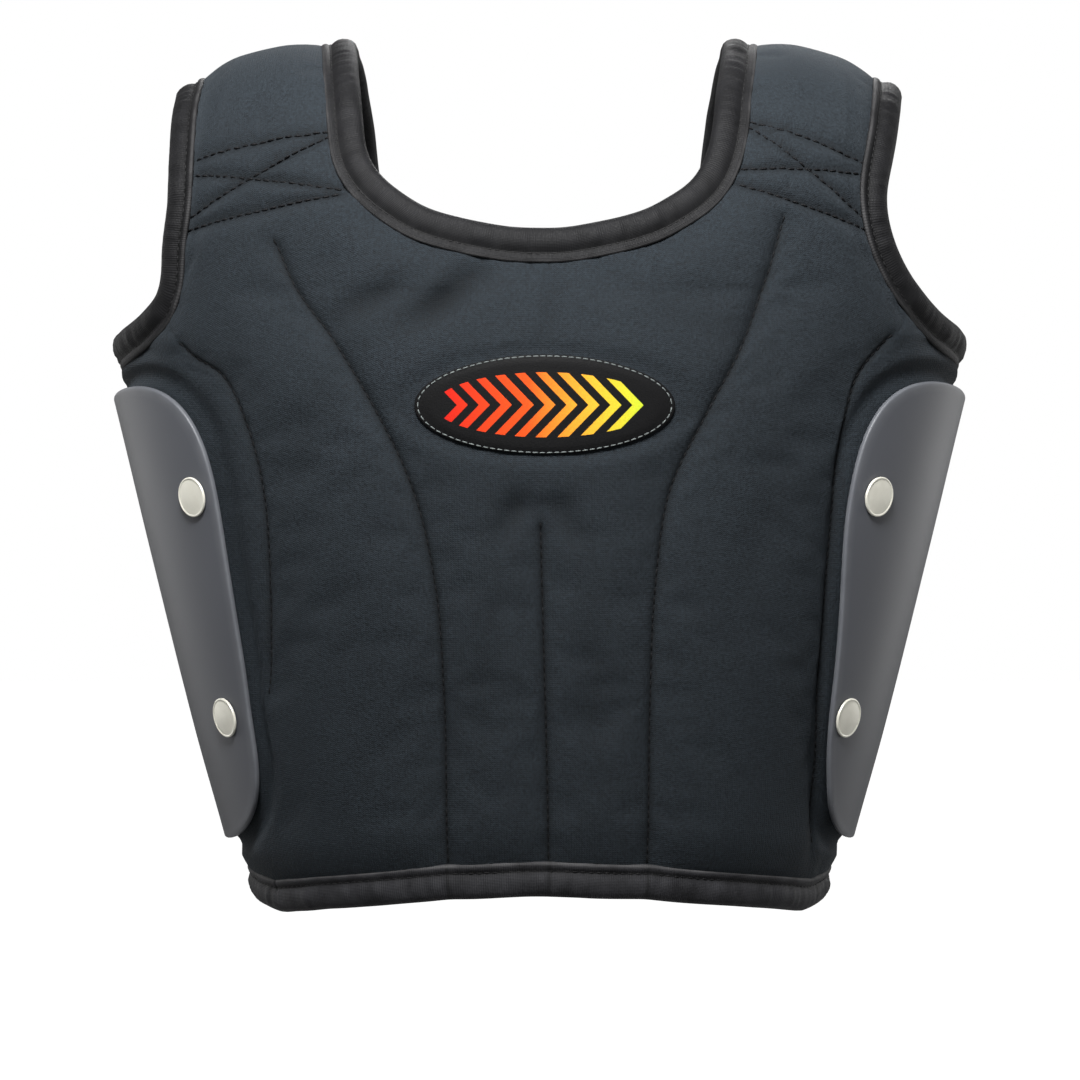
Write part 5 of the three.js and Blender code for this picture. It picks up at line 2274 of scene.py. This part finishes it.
@dataclass
class LoopField:
    """The loop-tape field on the back panel under the rear end of one plate."""

    side: Side
    panel: Panel
    first: float = 109
    last: float = 135
    low: float = 0.2
    high: float = 0.47
    sewn_at: float = 0.93
    grip_from: float = 1.03
    grip_fade: float = 0.2
    rounding: float = 0.35 * MM
    sink: float = 0.6 * MM
    thickness: float = 1.2 * MM
    clearance: float = 0.3 * MM

    def place(self, u: Points, v: Points) -> Placed:
        """Where a point of the flat field lies on the back panel.

        Args:
            u: Places across the field.
            v: Places up it.

        Returns:
            The point and the field's lift there.
        """
        torso = self.panel.torso
        turn = self.first + (u + 1) / 2 * (self.last - self.first)
        share = self.low + (v + 1) / 2 * (self.high - self.low)
        point = torso.around(turn, share * torso.height, Facing.FRONT)
        point[:, 0] *= self.side.value
        return Placed(point, np.full(len(u), self.panel.pad + self.clearance))

    def covers(self, points: Points) -> Points:
        """From 0 to 1, how firmly the field lies on points of the lining.

        Args:
            points: Points of the lining.

        Returns:
            The share at each point.
        """
        turn = np.degrees(np.arctan2(np.abs(points[..., 0]), -points[..., 1]))
        share = points[..., 2] / self.panel.torso.height
        across = np.abs(2 * turn - self.first - self.last) / (self.last - self.first)
        up = np.abs(2 * share - self.low - self.high) / (self.high - self.low)
        held = 1 - smooth((np.maximum(across, up) - self.grip_from) / self.grip_fade)
        return held * (points[..., 0] * self.side.value > 0)

    def build(self, finish: PileFinish, thread: ThreadFinish) -> list[Piece]:
        """Makes the field and the stitches round it, and dresses them.

        Args:
            finish: The pile's finish.
            thread: The thread's finish.

        Returns:
            The field and its stitches.
        """
        name = self.side.name.lower()
        torso = self.panel.torso
        piece = laid_sheet(f"loop_strip_{name}", (40, 60), self.place, torso)
        if self.side is Side.LEFT:
            piece.data.flip_normals()
        add_modifier(piece, "SOLIDIFY", thickness=self.thickness, offset=1)
        soften(piece, self.rounding, segments=2)
        face_out(piece)
        piece.data.materials.append(finish.material())
        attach(piece, ROOT)
        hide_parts(f"loop_field_{name}")
        wide, tall = self.flat_size()
        corners = np.array([(-1, -1), (1, -1), (1, 1), (-1, 1), (-1, -1)]) * self.sewn_at
        path = np.vstack([np.linspace(a, b, 40, endpoint=False) for a, b in zip(corners, corners[1:])])
        point, lift = self.place(path[:, 0], path[:, 1])
        normals = torso.normals(point)
        line = torso.framed(point + normals * (lift[:, None] + self.thickness + 0.02 * MM))
        rows = MeshData()
        sew_row(rows, line, normals, FIELD_STITCH)
        return [piece, sewn(rows, f"loop_strip_{name}_stitches", thread)]

    def flat_size(self) -> tuple[float, float]:
        """The field's width and length before it is bent round the back.

        Returns:
            The width and the length, in metres.
        """
        edge = np.linspace(-1, 1, 30)
        middle = np.zeros(30)
        across = self.place(edge, middle)
        upward = self.place(middle, edge)
        sizes = []
        for placed in (across, upward):
            line = placed.point + self.panel.torso.normals(placed.point) * placed.lift[:, None]
            sizes.append(float(np.linalg.norm(np.diff(line, axis=0), axis=1).sum()))
        return sizes[0], sizes[1]


class Lamp(NamedTuple):
    """A soft round light: its place, the point it looks at, its width, watts and spread in degrees."""

    name: str
    place: tuple[float, float, float]
    aim: tuple[float, float, float]
    size: float
    power: float
    spread: float = 180


@dataclass
class Studio:
    """A pale floor, soft lights and the camera, straight ahead of the vest."""

    distance: float = 1.7
    aim_height: float = 150 * MM
    aim_x: float = 0.2 * MM
    focal_pixels: float = 3987
    picture: float = 1080
    sensor: float = 36
    floor_drop: float = 0.4
    surroundings: float = 0.08
    lamps: tuple[Lamp, ...] = (
        Lamp("key", (-0.1, -0.85, 0.62), (0, -0.1, 0.15), 0.4, 5.3, 68),
        Lamp("left_front", (-1.7, -1.5, 0.05), (0, 0, -0.15), 1.0, 2.7),
        Lamp("right_front", (1.7, -1.5, 0.05), (0, 0, -0.15), 1.0, 4.2),
        Lamp("left_side", (-1.3, 0.9, -0.05), (0, 0, -0.2), 1.2, 6),
        Lamp("right_side", (1.3, 0.9, -0.05), (0, 0, -0.2), 1.2, 7),
        Lamp("rear", (0.2, 1.5, 0.9), (0, 0, -0.15), 0.9, 16),
    )

    def camera(self, rest: float) -> None:
        """Places the camera at the photograph's distance, height and angle of view.

        Args:
            rest: The height of the frame's origin above the hem line.
        """
        data = bpy.data.cameras.new("studio_camera")
        data.sensor_width = self.sensor
        data.lens = self.focal_pixels / self.picture * self.sensor
        data.clip_start, data.clip_end = 0.05, 60
        camera = bpy.data.objects.new("studio_camera", data)
        camera.location = (self.aim_x, -self.distance, self.aim_height - rest)
        camera.rotation_euler = (math.pi / 2, 0, 0)
        bpy.context.scene.collection.objects.link(camera)
        bpy.context.scene.camera = camera

    def light(self, lamp: Lamp) -> None:
        """Adds one light, unseen by the camera.

        Args:
            lamp: What it is like and where it stands.
        """
        data = bpy.data.lights.new(lamp.name, "AREA")
        data.shape = "DISK"
        data.size, data.energy, data.spread = lamp.size, lamp.power, math.radians(lamp.spread)
        made = bpy.data.objects.new(lamp.name, data)
        made.location = lamp.place
        way = Vector(lamp.aim) - Vector(lamp.place)
        made.rotation_euler = way.to_track_quat("-Z", "Y").to_euler()
        made.visible_camera = False
        bpy.context.scene.collection.objects.link(made)

    def world(self) -> None:
        """Surrounds the studio with white, which lights the vest only softly."""
        world = bpy.data.worlds.new("surroundings")
        world.use_nodes = True
        tree = world.node_tree
        background = tree.nodes["Background"]
        background.inputs["Color"].default_value = (1, 1, 1, 1)
        seen = tree.nodes.new("ShaderNodeLightPath").outputs["Is Camera Ray"]
        strength = tree.nodes.new("ShaderNodeMapRange")
        strength.inputs["To Min"].default_value = self.surroundings
        strength.inputs["To Max"].default_value = 1.0
        tree.links.new(seen, strength.inputs["Value"])
        tree.links.new(strength.outputs["Result"], background.inputs["Strength"])
        bpy.context.scene.world = world

    def build(self, low: float, rest: float, finish: FloorFinish) -> None:
        """Makes the floor, the lights, the surroundings and the camera.

        Args:
            low: The height of the vest's lowest point, in the frame.
            rest: The height of the frame's origin above the hem line.
            finish: The floor's material.
        """
        bpy.ops.object.select_all(action="DESELECT")
        bpy.ops.mesh.primitive_circle_add(
            vertices=96, radius=14, fill_type="NGON", location=(0, 0, low - self.floor_drop)
        )
        floor = bpy.context.object
        floor.name = "studio_floor"
        floor.data.materials.append(finish.material())
        floor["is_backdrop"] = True
        for lamp in self.lamps:
            self.light(lamp)
        self.world()
        bpy.context.scene.view_settings.view_transform = "Standard"
        self.camera(rest)


# Where the rivets sit: degrees from the front and the share of the height, and degrees added on a side
RIVET_TURNS = {"upper": (61.0, 0.468), "lower": (62.2, 0.22)}
RIVET_SHIFT = {Side.LEFT: 1.7, Side.RIGHT: 0.0}
DARK_THREAD = ThreadFinish("black_thread", (0.004, 0.004, 0.005, 1))
TAPE_THREAD = ThreadFinish("tape_thread", (0.018, 0.018, 0.019, 1))
# Pale thread for the patch's rim: a painted highlight of its overlocked edge
PALE_HIGHLIGHT_THREAD = ThreadFinish("pale_highlight_thread", (0.22, 0.245, 0.24, 1))
# The hem tapes' copy of the tape: lighter throughout, with a brighter painted highlight along the lip.
HEM_TAPE = TapeFinish(
    "lighter_hem_tape", (0.006, 0.006, 0.007, 1), (0.038, 0.038, 0.0425, 1), (0.11, 0.108, 0.11, 1)
)


def triangles(piece: Piece) -> int:
    """How many triangles a piece has."""
    return sum(len(face.vertices) - 2 for face in piece.data.polygons)


def report(*pieces: Piece) -> None:
    """Logs each finished piece."""
    for piece in pieces:
        LOG.info("%s: %d triangles", piece.name, triangles(piece))


def main() -> None:
    """Builds the vest round the frame, and the studio."""
    logging.basicConfig(level=logging.INFO, format="%(name)s: %(message)s")
    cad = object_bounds()
    torso = Torso()
    knit, lining, tape = KnitFinish(), LiningFinish(), TapeFinish()
    front = Panel("padded_front", "front_panel", Facing.FRONT, FRONT_CUT, torso, FRONT_FOLDS)
    back = Panel("padded_back", "back_panel", Facing.BACK, BACK_CUT, torso)
    plates = [FlankPlate(side, torso) for side in Side]
    fields = [LoopField(side, back) for side in Side]
    patch = ChestPatch(front)
    front.carried = [patch, *plates]
    back.carried = [*plates, *fields]
    report(front.build(knit, lining))
    report(back.build(knit, lining))
    report(SeamStitching(front, "front_stitches").build(DARK_THREAD))
    report(SeamStitching(back, "back_stitches").build(DARK_THREAD))
    report(*Bindings(front, back).build(tape, HEM_TAPE, TAPE_THREAD))
    for plate, loop_field in zip(plates, fields):
        report(plate.build(PlasticFinish()))
        for position, (turn, height) in RIVET_TURNS.items():
            report(Rivet(plate, position, turn + RIVET_SHIFT[plate.side], height).build(NickelFinish()))
        report(*loop_field.build(PileFinish(), DARK_THREAD))
    report(*patch.build(PatchFinish(), PALE_HIGHLIGHT_THREAD))
    Studio().build(cad[0].z, torso.rest, FloorFinish())


if __name__ == "__main__":
    main()
